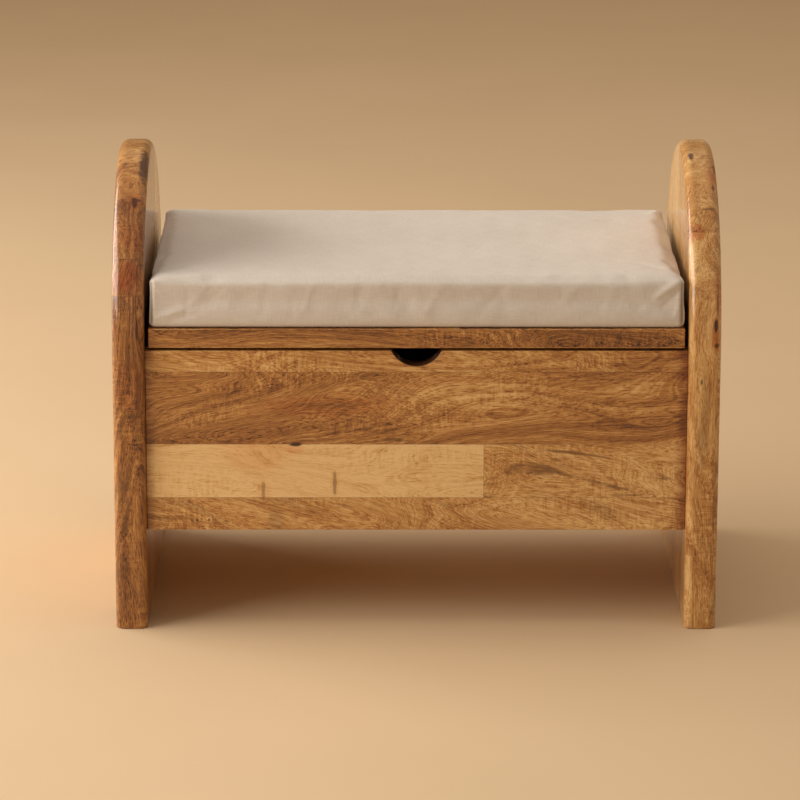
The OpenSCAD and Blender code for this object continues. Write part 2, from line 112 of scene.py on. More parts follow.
# %% Node helper
class Tree:
    """A node tree with short ways to add and join nodes."""

    def __init__(self, tree):
        self.nodes, self.links = tree.nodes, tree.links
        self.nodes.clear()

    def node(self, kind, inputs=None, **settings):
        made = self.nodes.new(kind)
        for name, value in settings.items():
            setattr(made, name, value)
        for name, value in (inputs or {}).items():
            self.fill(made.inputs[name], value)
        return made

    def fill(self, socket, value):
        if isinstance(value, bpy.types.NodeSocket):
            self.links.new(value, socket)
        else:
            socket.default_value = value

    def math(self, operation, a, b=0.0, c=0.0):
        kind = "ShaderNodeMath"
        return self.node(kind, {0: a, 1: b, 2: c}, operation=operation).outputs[0]

    def vector(self, operation, a, b=(0, 0, 0)):
        made = self.node("ShaderNodeVectorMath", {0: a, 1: b}, operation=operation)
        return made.outputs["Value" if operation in ("LENGTH", "DISTANCE") else "Vector"]

    def split(self, vector):
        return self.node("ShaderNodeSeparateXYZ", {0: vector}).outputs

    def combine(self, x, y, z):
        return self.node("ShaderNodeCombineXYZ", {0: x, 1: y, 2: z}).outputs[0]

    def noise(self, vector, scale=1.0, detail=2.0, roughness=0.5, distortion=0.0):
        made = self.node("ShaderNodeTexNoise", {"Vector": vector, "Scale": scale, "Detail": detail})
        made.inputs["Roughness"].default_value = roughness
        made.inputs["Distortion"].default_value = distortion
        return made.outputs[0]

    def line_noise(self, w, scale=1.0, detail=2.0):
        made = self.node("ShaderNodeTexNoise", noise_dimensions="1D")
        self.fill(made.inputs["W"], w)
        made.inputs["Scale"].default_value = scale
        made.inputs["Detail"].default_value = detail
        return made.outputs[0]

    def step(self, value, low, high, out_low=0.0, out_high=1.0):
        """Smooth step from out_low at low to out_high at high."""
        ends = {"Value": value, "From Min": low, "From Max": high, "To Min": out_low, "To Max": out_high}
        return self.node("ShaderNodeMapRange", ends, interpolation_type="SMOOTHSTEP").outputs[0]

    def mix(self, share, a, b, blend_type="MIX"):
        made = self.node("ShaderNodeMix", data_type="RGBA", blend_type=blend_type)
        for index, value in ((0, share), (6, a), (7, b)):
            self.fill(made.inputs[index], value)
        return made.outputs[2]

    def ramp(self, value, stops):
        made = self.node("ShaderNodeValToRGB", {"Fac": value})
        ends = made.color_ramp.elements
        while len(ends) < len(stops):
            ends.new(0.5)
        for end, (place, colour) in zip(ends, stops):
            end.position = place
            end.color = colour
        return made.outputs[0]

    def attribute(self, name):
        return self.node("ShaderNodeAttribute", attribute_name=name).outputs


print("the node helper knows", len([name for name in vars(Tree) if name[0] != "_"]), "short ways")


# %% [markdown]
# ## Colours and surfaces
#
# Every finish here is one Principled surface whose colour, roughness and bump come from a few
# nodes. Colours are written as a painter mixes them, from 0 to 255, and turned into the linear
# values that light adds up in. Inputs that vary are joined as sockets. A number that is the same
# everywhere is set on the shader itself, where a reader finds it at once.

# %% Colours and surfaces
def paint(red, green, blue):
    """A colour from 0 to 255 as the linear colour that the shader wants."""
    linear = [
        c / 255 / 12.92 if c < 11 else ((c / 255 + 0.055) / 1.055) ** 2.4
        for c in (red, green, blue)
    ]
    return (*linear, 1.0)


def new_material(name):
    material = bpy.data.materials.new(name)
    material.use_nodes = True
    return material, Tree(material.node_tree)


def finish_material(t, surface, bump=None, bump_mm=0.1, bump_strength=0.5, **fixed):
    """Principled surface: linked inputs in surface, numbers that are the same everywhere in fixed."""
    shader = t.node("ShaderNodeBsdfPrincipled", surface)
    for name, value in fixed.items():
        shader.inputs[name.replace("_", " ")].default_value = value
    if bump is not None:
        sizes = {"Strength": bump_strength, "Distance": bump_mm * MM, "Height": bump}
        t.fill(shader.inputs["Normal"], t.node("ShaderNodeBump", sizes).outputs[0])
    t.node("ShaderNodeOutputMaterial", {"Surface": shader.outputs[0]})
    return shader


print("a middle grey gives off", round(paint(128, 128, 128)[0], 3), "of the light of white")


# %% [markdown]
# ## Mango wood
#
# The boards are glued up from staves of mango wood, which runs from pale sapwood through honey and
# reddish brown to near-black streaks within one tree. A picture of wood would repeat and stretch,
# so the wood is a recipe in three dimensions instead: it runs through the board, and the round-over
# at an edge shows end grain by itself.
#
# Each stave has three attributes on its faces: its tone, the strength of its dark streaks and the
# lean of its grain. A fourth is a number of its own that shifts the recipe, so that no two staves
# show the same piece of the log. The next cells build the recipe step by step, from the tones.

# %% Wood tones
WOOD_TONES = [
    (0.00, paint(230, 193, 137)),
    (0.25, paint(211, 167, 106)),
    (0.45, paint(184, 130, 69)),
    (0.65, paint(152, 97, 47)),
    (0.85, paint(110, 65, 30)),
    (1.00, paint(60, 34, 17)),
]
STREAK_BROWN = paint(100, 62, 32)
KNOT_BROWN = paint(66, 33, 18)
RED_STAIN = paint(240, 200, 170)
# Tint of the painted shade in the corners where the side panels shade the front and back panels
CORNER_SHADE_TINT = paint(170, 118, 86)
GLUE_BROWN = paint(74, 44, 26)
print("wood runs through", len(WOOD_TONES), "tones")


# %% [markdown]
# ## Grain, knots and stains
#
# Wood is finer across its grain than along it. So every noise below is drawn in a space whose first
# number runs along the grain, squeezed by one factor along and another across.
#
# A knot or a stain is an ellipsoid: its middle and its three radii. Its distance is measured in its
# own radii, and a little noise is added, so that no edge comes out as a perfect oval.

# %% Grain space and marks
STAVE_SHIFT = (3.71, 1.93, 2.37)


def grain_space(t, place, grain_axis, seed, lean):
    """Turns a place so that its first number runs along the grain, then leans and shifts it."""
    x, y, z = t.split(place)
    along, across, deep = (x, z, y) if grain_axis == X else (z, y, x)
    leaning = t.math("MULTIPLY_ADD", along, lean, across)
    turned = t.combine(along, leaning, deep)
    shift = t.vector("MULTIPLY", t.combine(seed, seed, seed), STAVE_SHIFT)
    return t.vector("ADD", turned, shift)


def stretched(t, place, along, across):
    return t.vector("MULTIPLY", place, (along, across, across))


def mark_distance(t, place, mark):
    """Distance from a knot or a stain, in its own radii along X, Y and Z."""
    centre = tuple(v * MM for v in mark[:3])
    shrink = tuple(1 / (v * MM) for v in mark[3:])
    return t.vector("LENGTH", t.vector("MULTIPLY", t.vector("SUBTRACT", place, centre), shrink))


def knot_fields(t, place, wobble, knots):
    """How dark the knots make each place, and how far they push the figure aside."""
    dark, push = 0.0, 0.0
    for *knot, strength in knots:
        distance = t.math("MULTIPLY_ADD", wobble, 1.4, mark_distance(t, place, knot))
        dark = t.math("MAXIMUM", dark, t.step(distance, 1.35, 0.6, 0.0, strength))
        push = t.math("ADD", push, t.step(distance, 6.0, 0.5, 0.0, 0.06 * strength ** 3))
    return dark, push


def stain_red(t, place, wobble, reds, colour):
    for *red, strength in reds:
        distance = t.math("MULTIPLY_ADD", wobble, 1.2, mark_distance(t, place, red))
        stained = t.mix(1.0, colour, RED_STAIN, "MULTIPLY")
        colour = t.mix(t.step(distance, 1.5, 0.6, 0.0, strength), colour, stained)
    return colour


print("each stave is shifted by", STAVE_SHIFT, "metres for every unit of its own number")


# %% [markdown]
# ## Painted shade in the corners and in the notch
#
# Painted shade darkens each end of the front and back panels, in the corner where a side panel
# shades it, more on the right than on the left, because the key light comes from the left. Painted
# shadow darkens the inner edge of the finger notch, which lies under the lid. Both follow the
# board's shape, so they are distances too: from the board's end, and from the notch's circle.

# %% Painted corner shade and notch shadow
CORNER_SHADE_REACH = 11 * MM
NOTCH_SHADE_WIDTH = 0.9 * MM


def corner_shade_painted(t, place, shade_end, bands, fibres, colour):
    """Painted shade at both ends of a board that runs along X up to the given end, where the side panels
    shade it; the left end a little less.
    """
    x = t.split(place)[0]
    edge = t.math("MAXIMUM", x, t.math("SUBTRACT", -5 * MM, x))
    ragged = t.math("MULTIPLY_ADD", bands, 14 * MM, t.math("MULTIPLY_ADD", fibres, 10 * MM, edge))
    # Painted shade, strongest at the board's end and fading over the reach, with ragged edges from the
    # grain
    corner_shade = t.step(ragged, shade_end - 3 * MM, shade_end + CORNER_SHADE_REACH, 0.0, 0.85)
    return t.mix(corner_shade, colour, t.mix(1.0, colour, CORNER_SHADE_TINT, "MULTIPLY"))


def notch_shade_painted(t, place, notch, colour):
    """Painted shadow on the edge of a round notch under the lid, given by its circle's height and radius.
    """
    centre_z, radius = notch
    x, _, z = t.split(place)
    reach = t.vector("LENGTH", t.combine(x, 0.0, t.math("SUBTRACT", z, centre_z)))
    # Painted shadow: a thin ring along the notch's edge, in knot brown
    notch_shade = t.step(reach, radius + NOTCH_SHADE_WIDTH, radius + 0.1 * MM, 0.0, 0.9)
    return t.mix(notch_shade, colour, KNOT_BROWN)


# The printed wax is the painted corner shade, and the scorch is the painted notch shadow
print("wax reaches", round(CORNER_SHADE_REACH / MM), "mm and more, the scorch", round(NOTCH_SHADE_WIDTH / MM, 1), "mm")


# %% [markdown]
# ## The wood recipe
#
# The growth figure is made of contour lines through a smooth noise stretched along the grain, which
# gives the arches and islands of a flat-sawn board. Fibres, hairs and pores are drawn in a space
# that bends with that figure, so that they flow round the knots. All parts are added up to one
# number, the depth of the colour, which the tones turn into wood. Lacquer is the shader's coat.

# %% Wood recipe
COAT_ROUGHNESS = 0.15


def wood_material(
    name, grain_axis, knots=(), reds=(), tone=0.0, streak=0.0, rings=0.13, coat=0.9, rough=0.42,
    shade_end=None, notch=None,
):
    """Lacquered mango wood; the board's end and its notch, when given, get painted shade in the colour."""
    material, t = new_material(name)
    place = t.node("ShaderNodeTexCoord").outputs["Object"]
    stave_tone, stave_streak, lean = t.split(t.attribute("stave")["Vector"])
    seed = t.attribute("stave_seed")["Fac"]
    wood = grain_space(t, place, grain_axis, seed, lean)
    wobble = t.math("SUBTRACT", t.noise(stretched(t, wood, 60, 160), detail=1), 0.5)
    knot_dark, knot_push = knot_fields(t, place, wobble, knots)

    # Growth figure: contour lines of a smooth stretched noise
    bend = t.noise(stretched(t, wood, 4.2, 17.0), detail=1.0, roughness=0.4, distortion=0.35)
    level = t.math("ADD", bend, knot_push)
    fine_rings = t.step(t.line_noise(t.math("MULTIPLY", level, 150.0), detail=2), 0.34, 0.66)
    broad_rings = t.line_noise(t.math("MULTIPLY", level, 26.0), detail=1)

    # Fibres and pores follow the figure, so they are drawn in a space that bends with it
    along, across, deep = t.split(wood)
    sway = t.math("MULTIPLY_ADD", level, 0.10, across)
    flow = t.combine(along, sway, t.math("MULTIPLY_ADD", level, 0.06, deep))
    fibres = t.noise(stretched(t, flow, 24, 560), detail=3, roughness=0.75)
    hairs = t.noise(stretched(t, flow, 60, 1500), detail=2, roughness=0.6)
    dashes = t.step(t.noise(stretched(t, flow, 95, 800), detail=2, roughness=0.6), 0.50, 0.68)
    pores = t.step(t.noise(stretched(t, flow, 160, 1250), detail=1, roughness=0.5), 0.57, 0.70)

    # Bands of curled grain that catch the light, and dark heartwood streaks
    ripple_here = t.step(t.noise(stretched(t, wood, 9, 26), detail=1), 0.48, 0.62)
    ripple = t.noise(stretched(t, flow, 360, 70), detail=2, roughness=0.6, distortion=0.6)
    curl = t.math("MULTIPLY", ripple_here, t.math("SUBTRACT", ripple, 0.5))
    bands = t.noise(stretched(t, flow, 3.6, 34), detail=3, roughness=0.6, distortion=0.3)
    heart = t.noise(stretched(t, flow, 9, 85), detail=3, roughness=0.65, distortion=0.4)
    streaks = t.math("MULTIPLY", t.step(heart, 0.53, 0.68), t.math("ADD", stave_streak, streak))

    # Pale sapwood is calm and dark heartwood lively, so the figure is scaled by the stave's tone
    parts = [(broad_rings, 0.24), (fine_rings, rings), (fibres, 0.56), (hairs, 0.42), (bands, 0.62)]
    figure = -sum(share for _, share in parts) / 2 - 0.10
    for part, share in parts + [(curl, 0.55), (dashes, 0.16), (pores, 0.14)]:
        figure = t.math("MULTIPLY_ADD", part, share, figure)
    liveliness = t.math("MULTIPLY_ADD", stave_tone, 0.35, 1.0)
    depth = t.math("MULTIPLY_ADD", figure, liveliness, t.math("ADD", stave_tone, tone))

    colour = t.mix(t.math("MULTIPLY", streaks, 0.75), t.ramp(depth, WOOD_TONES), STREAK_BROWN)
    colour = stain_red(t, place, wobble, reds, colour)
    colour = t.mix(knot_dark, colour, KNOT_BROWN)
    # Painted shade in the corners at the board's ends, and painted shadow along the notch's edge
    if shade_end:
        colour = corner_shade_painted(t, place, shade_end, bands, fibres, colour)
    if notch:
        colour = notch_shade_painted(t, place, notch, colour)
    colour = t.mix(t.math("MULTIPLY", t.attribute("glue")["Fac"], 0.45), colour, GLUE_BROWN)

    roughness = t.math("MULTIPLY_ADD", fibres, 0.20, rough - 0.10)
    roughness = t.math("MULTIPLY_ADD", pores, 0.15, roughness)
    relief = t.math("MULTIPLY_ADD", pores, -0.7, t.math("MULTIPLY", fibres, 0.5))
    relief = t.math("MULTIPLY_ADD", dashes, -0.5, t.math("MULTIPLY_ADD", fine_rings, 0.35, relief))
    finish_material(
        t, {"Base Color": colour, "Roughness": roughness}, relief, bump_mm=0.16, bump_strength=0.55,
        Specular_IOR_Level=0.25, Coat_Weight=coat, Coat_Roughness=COAT_ROUGHNESS, IOR=1.42,
    )
    return material


print("lacquer roughness:", COAT_ROUGHNESS)


# %% [markdown]
# ## Gluing up a board
#
# A cabinet maker glues narrow staves edge to edge, and short ones end to end, then planes the board
# flat. The joints stay visible as hairlines, and the colour jumps across them.
#
# A board is planned as rows of staves. Each row has a width and one or more pieces, and each piece
# has its share of the length, its tone, its streaks and its lean. Boards whose staves are known are
# listed one by one. The others get theirs by a seeded draw, which gives the same board every time.

# %% Planning the staves
GROOVE_HALF = 0.22 * MM
GROOVE_DEPTH = 0.14 * MM


def corners(mesh):
    points = np.array([v.co for v in mesh.vertices])
    return points.min(0), points.max(0)


def random_strips(rng, count, tones, pieces=(1, 2)):
    """Staves for a board that nobody planned: widths, butt joints and tones by a seeded draw."""
    strips = []
    for _ in range(count):
        shares = [rng.uniform(0.6, 1.4) for _ in range(rng.choice(pieces))]
        cells = [(s, rng.uniform(*tones), rng.uniform(0, 0.7), rng.uniform(-0.12, 0.12)) for s in shares]
        strips.append((rng.uniform(38, 66), cells))
    return strips


def lay_out(strips, low, high):
    """Turns widths and shares into places: a list of (start, end, cell) for strips and their pieces."""
    total = sum(width for width, _ in strips)
    places, start = [], low
    for width, cell in strips:
        end = start + width / total * (high - low)
        places.append((start, end, cell))
        start = end
    return places


print("joints are", round(2 * GROOVE_HALF / MM, 2), "mm wide and", round(GROOVE_DEPTH / MM, 2), "mm deep")


# %% [markdown]
# ## Cutting the joints
#
# The board is one closed shell. It could be made of separate blocks, but real joints are closed, and
# blocks would leave cracks. So each joint cuts three parallel lines into the shell, and the middle
# one is pressed in, which leaves a hairline groove. Then every face learns which stave it is.

# %% Cutting the joints
def cut_groove(bm, axis, place, inside):
    """Three parallel cuts round the faces that inside() picks; returns the middle one's points."""
    normal = [float(axis == i) for i in range(3)]
    middle = []
    for shift in (-GROOVE_HALF, 0, GROOVE_HALF):
        faces = [f for f in bm.faces if inside(f.calc_center_median())]
        edges = list({e for f in faces for e in f.edges})
        points = list({v for f in faces for v in f.verts})
        where = [n * (place + shift) for n in normal]
        geometry = points + edges + faces
        cut = bmesh.ops.bisect_plane(bm, geom=geometry, dist=1e-6, plane_co=where, plane_no=normal)
        if shift == 0:
            middle = [g for g in cut["geom_cut"] if isinstance(g, bmesh.types.BMVert)]
    return middle


def glue_up(mesh, along, across, strips, rng):
    """Cuts the stave joints into a board and gives every face its stave's attributes."""
    low, high = corners(mesh)
    bm = bmesh.new()
    bm.from_mesh(mesh)
    rows = []
    for start, end, cells in lay_out(strips, low[across], high[across]):
        pieces = [(cell[0], (*cell[1:], rng.uniform(0, 9))) for cell in cells]
        rows.append((start, end, lay_out(pieces, low[along], high[along])))
    pressed = []
    for start, _, _ in rows[1:]:
        pressed += cut_groove(bm, across, start, lambda c: True)
    for start, end, pieces in rows:
        inner, outer = start + GROOVE_HALF, end - GROOVE_HALF
        for butt, _, _ in pieces[1:]:
            pressed += cut_groove(bm, along, butt, lambda c: inner < c[across] < outer)
    bm.normal_update()
    for point in set(pressed):
        point.co -= point.normal * GROOVE_DEPTH
    bm.to_mesh(mesh)
    bm.free()
    mark_staves(mesh, along, across, rows)
    return rows


def mark_staves(mesh, along, across, rows):
    """Writes each face's stave (tone, streak, lean), its own shift and whether it lies in a joint."""
    staves, seeds, glued = [], [], []
    for face in mesh.polygons:
        centre = face.center
        start, end, pieces = next((r for r in rows if centre[across] <= r[1]), rows[-1])
        near, far, cell = next((p for p in pieces if centre[along] <= p[1]), pieces[-1])
        tone, streak, lean, own = cell
        rims, ends = (rows[0][0], rows[-1][1]), (pieces[0][0], pieces[-1][1])
        gaps = [abs(centre[across] - edge) for edge in (start, end) if edge not in rims]
        gaps += [abs(centre[along] - edge) for edge in (near, far) if edge not in ends]
        staves += (tone, streak, lean)
        seeds.append(own)
        glued.append(float(min(gaps, default=1) < GROOVE_HALF))
    for name, kind, key, values in (
        ("stave", "FLOAT_VECTOR", "vector", staves), ("stave_seed", "FLOAT", "value", seeds),
        ("glue", "FLOAT", "value", glued),
    ):
        mesh.attributes.new(name, kind, "FACE").data.foreach_set(key, values)


print("every joint is three cuts,", round(GROOVE_HALF / MM, 2), "mm apart")


# %% [markdown]
# ## From mesh to finished piece
#
# Every piece is put in the scene in the same way: it gets its material, rides on one of the moving
# bodies of the packed model, and may stand for packed parts that it replaces. Weighted normals keep
# flat faces flat next to round ones, and the modifier is turned into plain mesh before that.

# %% Finished pieces
def finished_object(name, mesh, material, body, replaced=(), smooth=True):
    """Puts a mesh in the scene as a piece that rides on a body and stands for CAD nodes."""
    mesh.materials.clear()
    mesh.materials.append(material)
    piece = bpy.data.objects.new(name, mesh)
    bpy.context.scene.collection.objects.link(piece)
    if smooth:
        mesh.shade_smooth()
        flat_faces = piece.modifiers.new("even_faces", "WEIGHTED_NORMAL")
        flat_faces.weight = 100
        apply_modifiers(piece)
    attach(piece, body)
    if replaced:
        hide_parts(*replaced)
    return piece


def apply_modifiers(piece):
    """Turns a piece and its modifiers into one plain mesh."""
    graph = bpy.context.evaluated_depsgraph_get()
    graph.update()
    baked = bpy.data.meshes.new_from_object(piece.evaluated_get(graph))
    piece.modifiers.clear()
    piece.data = baked


# %% [markdown]
# ## The arched side panels
#
# Each side panel is a thick board: straight legs, a half-round top whose radius is half the board's
# depth, and a generous round-over on both sides of the edge. The shape follows a rule, so Geometry
# Nodes draw it: a rectangle's two upper corners are filleted until they meet at the crown, the
# outline is filled and pulled out to the board's thickness. Depth, height and thickness are inputs
# of the tree. The result is baked to plain mesh at once.

# %% Arched board tree
ARC_STEPS = 40


def size_tree(name, sizes):
    """An empty Geometry Nodes tree with one named number input for each size."""
    tree = bpy.data.node_groups.new(name, "GeometryNodeTree")
    tree.interface.new_socket("Geometry", in_out="OUTPUT", socket_type="NodeSocketGeometry")
    for label, value in sizes.items():
        socket = tree.interface.new_socket(label, in_out="INPUT", socket_type="NodeSocketFloat")
        socket.default_value = value
    return tree, Tree(tree)


def arched_board_tree(material):
    tree, t = size_tree("arched_board", {"Depth": 0.36, "Height": 0.46, "Thickness": 0.032})
    sizes = t.node("NodeGroupInput").outputs
    sides = {"Width": sizes["Depth"], "Height": sizes["Height"]}
    outline = t.node("GeometryNodeCurvePrimitiveQuadrilateral", sides).outputs[0]
    point = t.split(t.node("GeometryNodeInputPosition").outputs[0])
    upper = t.math("GREATER_THAN", point[1], 0.0)
    radius = t.math("MULTIPLY", upper, t.math("MULTIPLY", sizes["Depth"], 0.49999))
    corner = {"Curve": outline, "Radius": radius, "Count": ARC_STEPS}
    fillet = t.node("GeometryNodeFilletCurve", corner, mode="POLY").outputs[0]
    face = t.node("GeometryNodeFillCurve", {"Curve": fillet}, mode="NGONS").outputs[0]
    pull = {"Mesh": face, "Offset Scale": sizes["Thickness"]}
    pulled = t.node("GeometryNodeExtrudeMesh", pull, mode="FACES")
    pulled.inputs["Individual"].default_value = False
    back = t.node("GeometryNodeFlipFaces", {"Mesh": face}).outputs[0]
    joined = t.node("GeometryNodeJoinGeometry")
    t.fill(joined.inputs[0], pulled.outputs[0])
    t.fill(joined.inputs[0], back)
    weld = {"Geometry": joined.outputs[0], "Distance": 1e-5}
    closed = t.node("GeometryNodeMergeByDistance", weld).outputs[0]
    half_height = t.math("MULTIPLY", sizes["Height"], 0.5)
    half_thickness = t.math("MULTIPLY", sizes["Thickness"], -0.5)
    lift = {"Geometry": closed, "Translation": t.combine(0.0, half_height, half_thickness)}
    centred = t.node("GeometryNodeTransform", lift).outputs[0]
    turn = {"Geometry": centred, "Rotation": (math.pi / 2, 0.0, math.pi / 2)}
    upright = t.node("GeometryNodeTransform", turn).outputs[0]
    real = t.node("GeometryNodeRealizeInstances", {"Geometry": upright}).outputs[0]
    painted = t.node("GeometryNodeSetMaterial", {"Geometry": real, "Material": material}).outputs[0]
    t.node("NodeGroupOutput", {"Geometry": painted})
    return tree


def grow(tree, name, **sizes):
    """Runs a Geometry Nodes tree on an empty piece and returns the result as a plain mesh."""
    piece = bpy.data.objects.new(name, bpy.data.meshes.new(name))
    bpy.context.scene.collection.objects.link(piece)
    modifier = piece.modifiers.new(name, "NODES")
    modifier.node_group = tree
    for item in tree.interface.items_tree:
        if item.item_type == "SOCKET" and item.in_out == "INPUT" and item.name in sizes:
            modifier[item.identifier] = sizes[item.name]
    apply_modifiers(piece)
    mesh = piece.data
    bpy.data.objects.remove(piece)
    return mesh


print("each upper corner of the arched board is rounded in", ARC_STEPS, "steps")


# %% [markdown]
# ## Staves and marks of the side panels
#
# The front edge of a side panel shows most of its wood. So the first staves are listed with care:
# where a piece ends, how dark it is and where its knots and reddish stains lie. A stave is a width
# and its pieces from below. A piece is a share of the length, a tone, its streaks and its lean. A
# mark is a place, its radii along X, Y and Z, all in millimetres, and how strong it is.

# %% Side panel staves and marks
# From front to back
LEFT_STAVES = [
    (26, [(339, 0.78, 0.9, 0.02), (35, 0.74, 0.1, -0.03), (86, 0.81, 0.3, 0.03)]),
    (46, [(460, 0.80, 0.3, 0.03)]),
    (50, [(150, 0.50, 0.2, 0.05), (310, 0.70, 0.4, 0.00)]),
    (55, [(460, 0.62, 0.5, -0.06)]),
    (52, [(260, 0.44, 0.1, 0.04), (200, 0.60, 0.4, 0.02)]),
    (58, [(460, 0.34, 0.2, 0.05)]),
    (45, [(180, 0.55, 0.6, -0.03), (280, 0.46, 0.1, 0.06)]),
    (28, [(460, 0.52, 0.3, 0.02)]),
]
RIGHT_STAVES = [
    (45, [(77, 0.42, 0.5, 0.02), (320, 0.46, 0.5, 0.02), (63, 0.67, 0.3, 0.0)]),
    (30, [(460, 0.54, 0.3, -0.03)]),
    (56, [(200, 0.38, 0.1, 0.04), (260, 0.48, 0.1, 0.03)]),
    (50, [(460, 0.50, 0.5, -0.05)]),
    (60, [(300, 0.46, 0.2, 0.05), (160, 0.34, 0.1, 0.02)]),
    (48, [(460, 0.36, 0.5, 0.03)]),
    (43, [(240, 0.52, 0.2, -0.04), (220, 0.40, 0.4, 0.02)]),
    (28, [(460, 0.44, 0.3, 0.02)]),
]
LEFT_KNOTS = [
    (-279, -110, 421, 3.4, 9, 5.0, 0.95), (-275, -177, 307, 1.2, 4, 15, 0.9),
    (-276, -172, 330, 0.9, 5, 12, 0.6), (-271, -60, 447, 6.5, 38, 13, 0.9),
    (-275, -163, 356, 0.9, 8, 17, 0.55), (-276, -140, 392, 0.8, 10, 16, 0.4),
    (-300, 60, 240, 4, 6, 9, 0.9), (-268, 20, 395, 3, 4, 6, 0.8),
]
RIGHT_KNOTS = [
    (294, -177, 312, 1.8, 4, 5.5, 0.95), (295, -179, 292, 2.8, 4, 3, 0.8),
    (276, -45, 455, 2.6, 9, 4, 0.9), (299, -65, 447, 2.0, 10, 5, 0.8),
    (295, -95, 434, 1.4, 6, 4, 0.7), (281, -180, 255, 1.3, 3, 3, 0.7),
    (296, -170, 338, 0.9, 6, 24, 0.5), (290, -118, 416, 7, 5, 1.2, 0.45),
    (300, 75, 310, 4, 5, 8, 0.9),
]
LEFT_REDS = [
    (-284, -163, 356, 10, 12, 15, 1.0), (-279, -110, 421, 7, 12, 9, 0.7), (-282, -180, 250, 14, 5, 30, 0.4),
    (-280, -140, 392, 12, 14, 14, 0.5),
]
RIGHT_REDS = [
    (294, -177, 300, 3.5, 7, 20, 0.9), (277, -137, 397, 7, 10, 8, 0.8), (296, -80, 440, 6, 22, 12, 0.7),
    (297, -165, 345, 2.6, 12, 30, 0.7),
]
left_marks, right_marks = len(LEFT_KNOTS + LEFT_REDS), len(RIGHT_KNOTS + RIGHT_REDS)
print("marks on the side panels:", left_marks, "on the left one,", right_marks, "on the right one")


# %% [markdown]
# ## Building the side panels
#
# A router with a round cutter runs round the arch on both faces, and the foot is only broken with
# sandpaper. Here both are bevels. Their edges are found by where they lie, because a number that
# counts edges would be wrong as soon as the board's shape changed.

# %% Side panels
SIDE_ROUND = 9.0 * MM
FOOT_EASE = 1.5 * MM
ROUND_STEPS = 8


def edges_where(bm, test):
    return [e for e in bm.edges if test(*(v.co for v in e.verts))]


def round_over(bm, edges, radius, steps):
    bmesh.ops.bevel(
        bm, geom=edges, offset=radius, offset_type="OFFSET", segments=steps, profile=0.5,
        affect="EDGES", clamp_overlap=False,
    )


def side_board(tree, node):
    """Arched board with its round-over and its eased foot, in the CAD node's place."""
    low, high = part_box(node)
    size = high - low
    mesh = grow(tree, node + "_board", Depth=size.y, Height=size.z, Thickness=size.x)
    mesh.transform(Matrix.Translation(((low.x + high.x) / 2, (low.y + high.y) / 2, low.z)))
    bm = bmesh.new()
    bm.from_mesh(mesh)

    def on_rim(a, b):
        return abs(a.x - b.x) < 1e-5 and max(a.z, b.z) > 1e-4

    round_over(bm, edges_where(bm, on_rim), SIDE_ROUND, ROUND_STEPS)
    foot = [
        e for e in edges_where(bm, lambda a, b: a.z < 1e-4 and b.z < 1e-4)
        if len(e.link_faces) == 2 and e.calc_face_angle(0) > 0.5
    ]
    round_over(bm, foot, FOOT_EASE, 2)
    bmesh.ops.recalc_face_normals(bm, faces=bm.faces)
    bm.to_mesh(mesh)
    bm.free()
    return mesh


left_wood = wood_material("left_side_wood", Z, LEFT_KNOTS, LEFT_REDS, rings=0.06)
right_wood = wood_material("right_side_wood", Z, RIGHT_KNOTS, RIGHT_REDS, rings=0.06)
board_tree = arched_board_tree(left_wood)
for node, staves, wood, seed in (
    ("left_side_panel", LEFT_STAVES, left_wood, 11), ("right_side_panel", RIGHT_STAVES, right_wood, 23),
):
    panel_mesh = side_board(board_tree, node)
    glue_up(panel_mesh, Z, Y, staves, random.Random(seed))
    finished_object(node + "_board", panel_mesh, wood, "case", [node])
    print(node, "has", len(staves), "staves and", len(panel_mesh.polygons), "faces")


# %% [markdown]
# ## Plain boards
#
# The front, the back and the lid are planed boards with lightly broken edges. Each one is an outline
# pulled out to its thickness, and a small bevel then rounds its sharp edges. A cube primitive would
# do for two of them, but an outline also takes the front panel's notch.

# %% Plain boards
def slab(outline, axis, low, high):
    """Closed mesh: an outline of two-number points, pulled out along one axis from low to high."""
    others = [i for i in (X, Y, Z) if i != axis]
    bm = bmesh.new()
    rings = []
    for place in (low, high):
        ring = []
        for a, b in outline:
            point = [0.0, 0.0, 0.0]
            point[axis], point[others[0]], point[others[1]] = place, a, b
            ring.append(bm.verts.new(point))
        bm.faces.new(ring)
        rings.append(ring)
    for i in range(len(outline)):
        j = (i + 1) % len(outline)
        bm.faces.new((rings[0][i], rings[0][j], rings[1][j], rings[1][i]))
    bmesh.ops.recalc_face_normals(bm, faces=bm.faces)
    return bm


def eased_mesh(bm, name, ease, steps=3):
    sharp = [e for e in bm.edges if e.calc_face_angle(0) > 0.6]
    round_over(bm, sharp, ease, steps)
    bmesh.ops.recalc_face_normals(bm, faces=bm.faces)
    mesh = bpy.data.meshes.new(name)
    bm.to_mesh(mesh)
    bm.free()
    return mesh


def rectangle(low, high, a, b):
    return [(low[a], low[b]), (high[a], low[b]), (high[a], high[b]), (low[a], high[b])]


# %% [markdown]
# ## The finger notch
#
# The half-moon in the front panel's upper edge is an arc of a circle, cut with a router. Its width
# and depth are measured on the packed part, whose points on the arc lie near the middle and just
# below the edge. Two of them, and the middle line they mirror in, fix the circle.

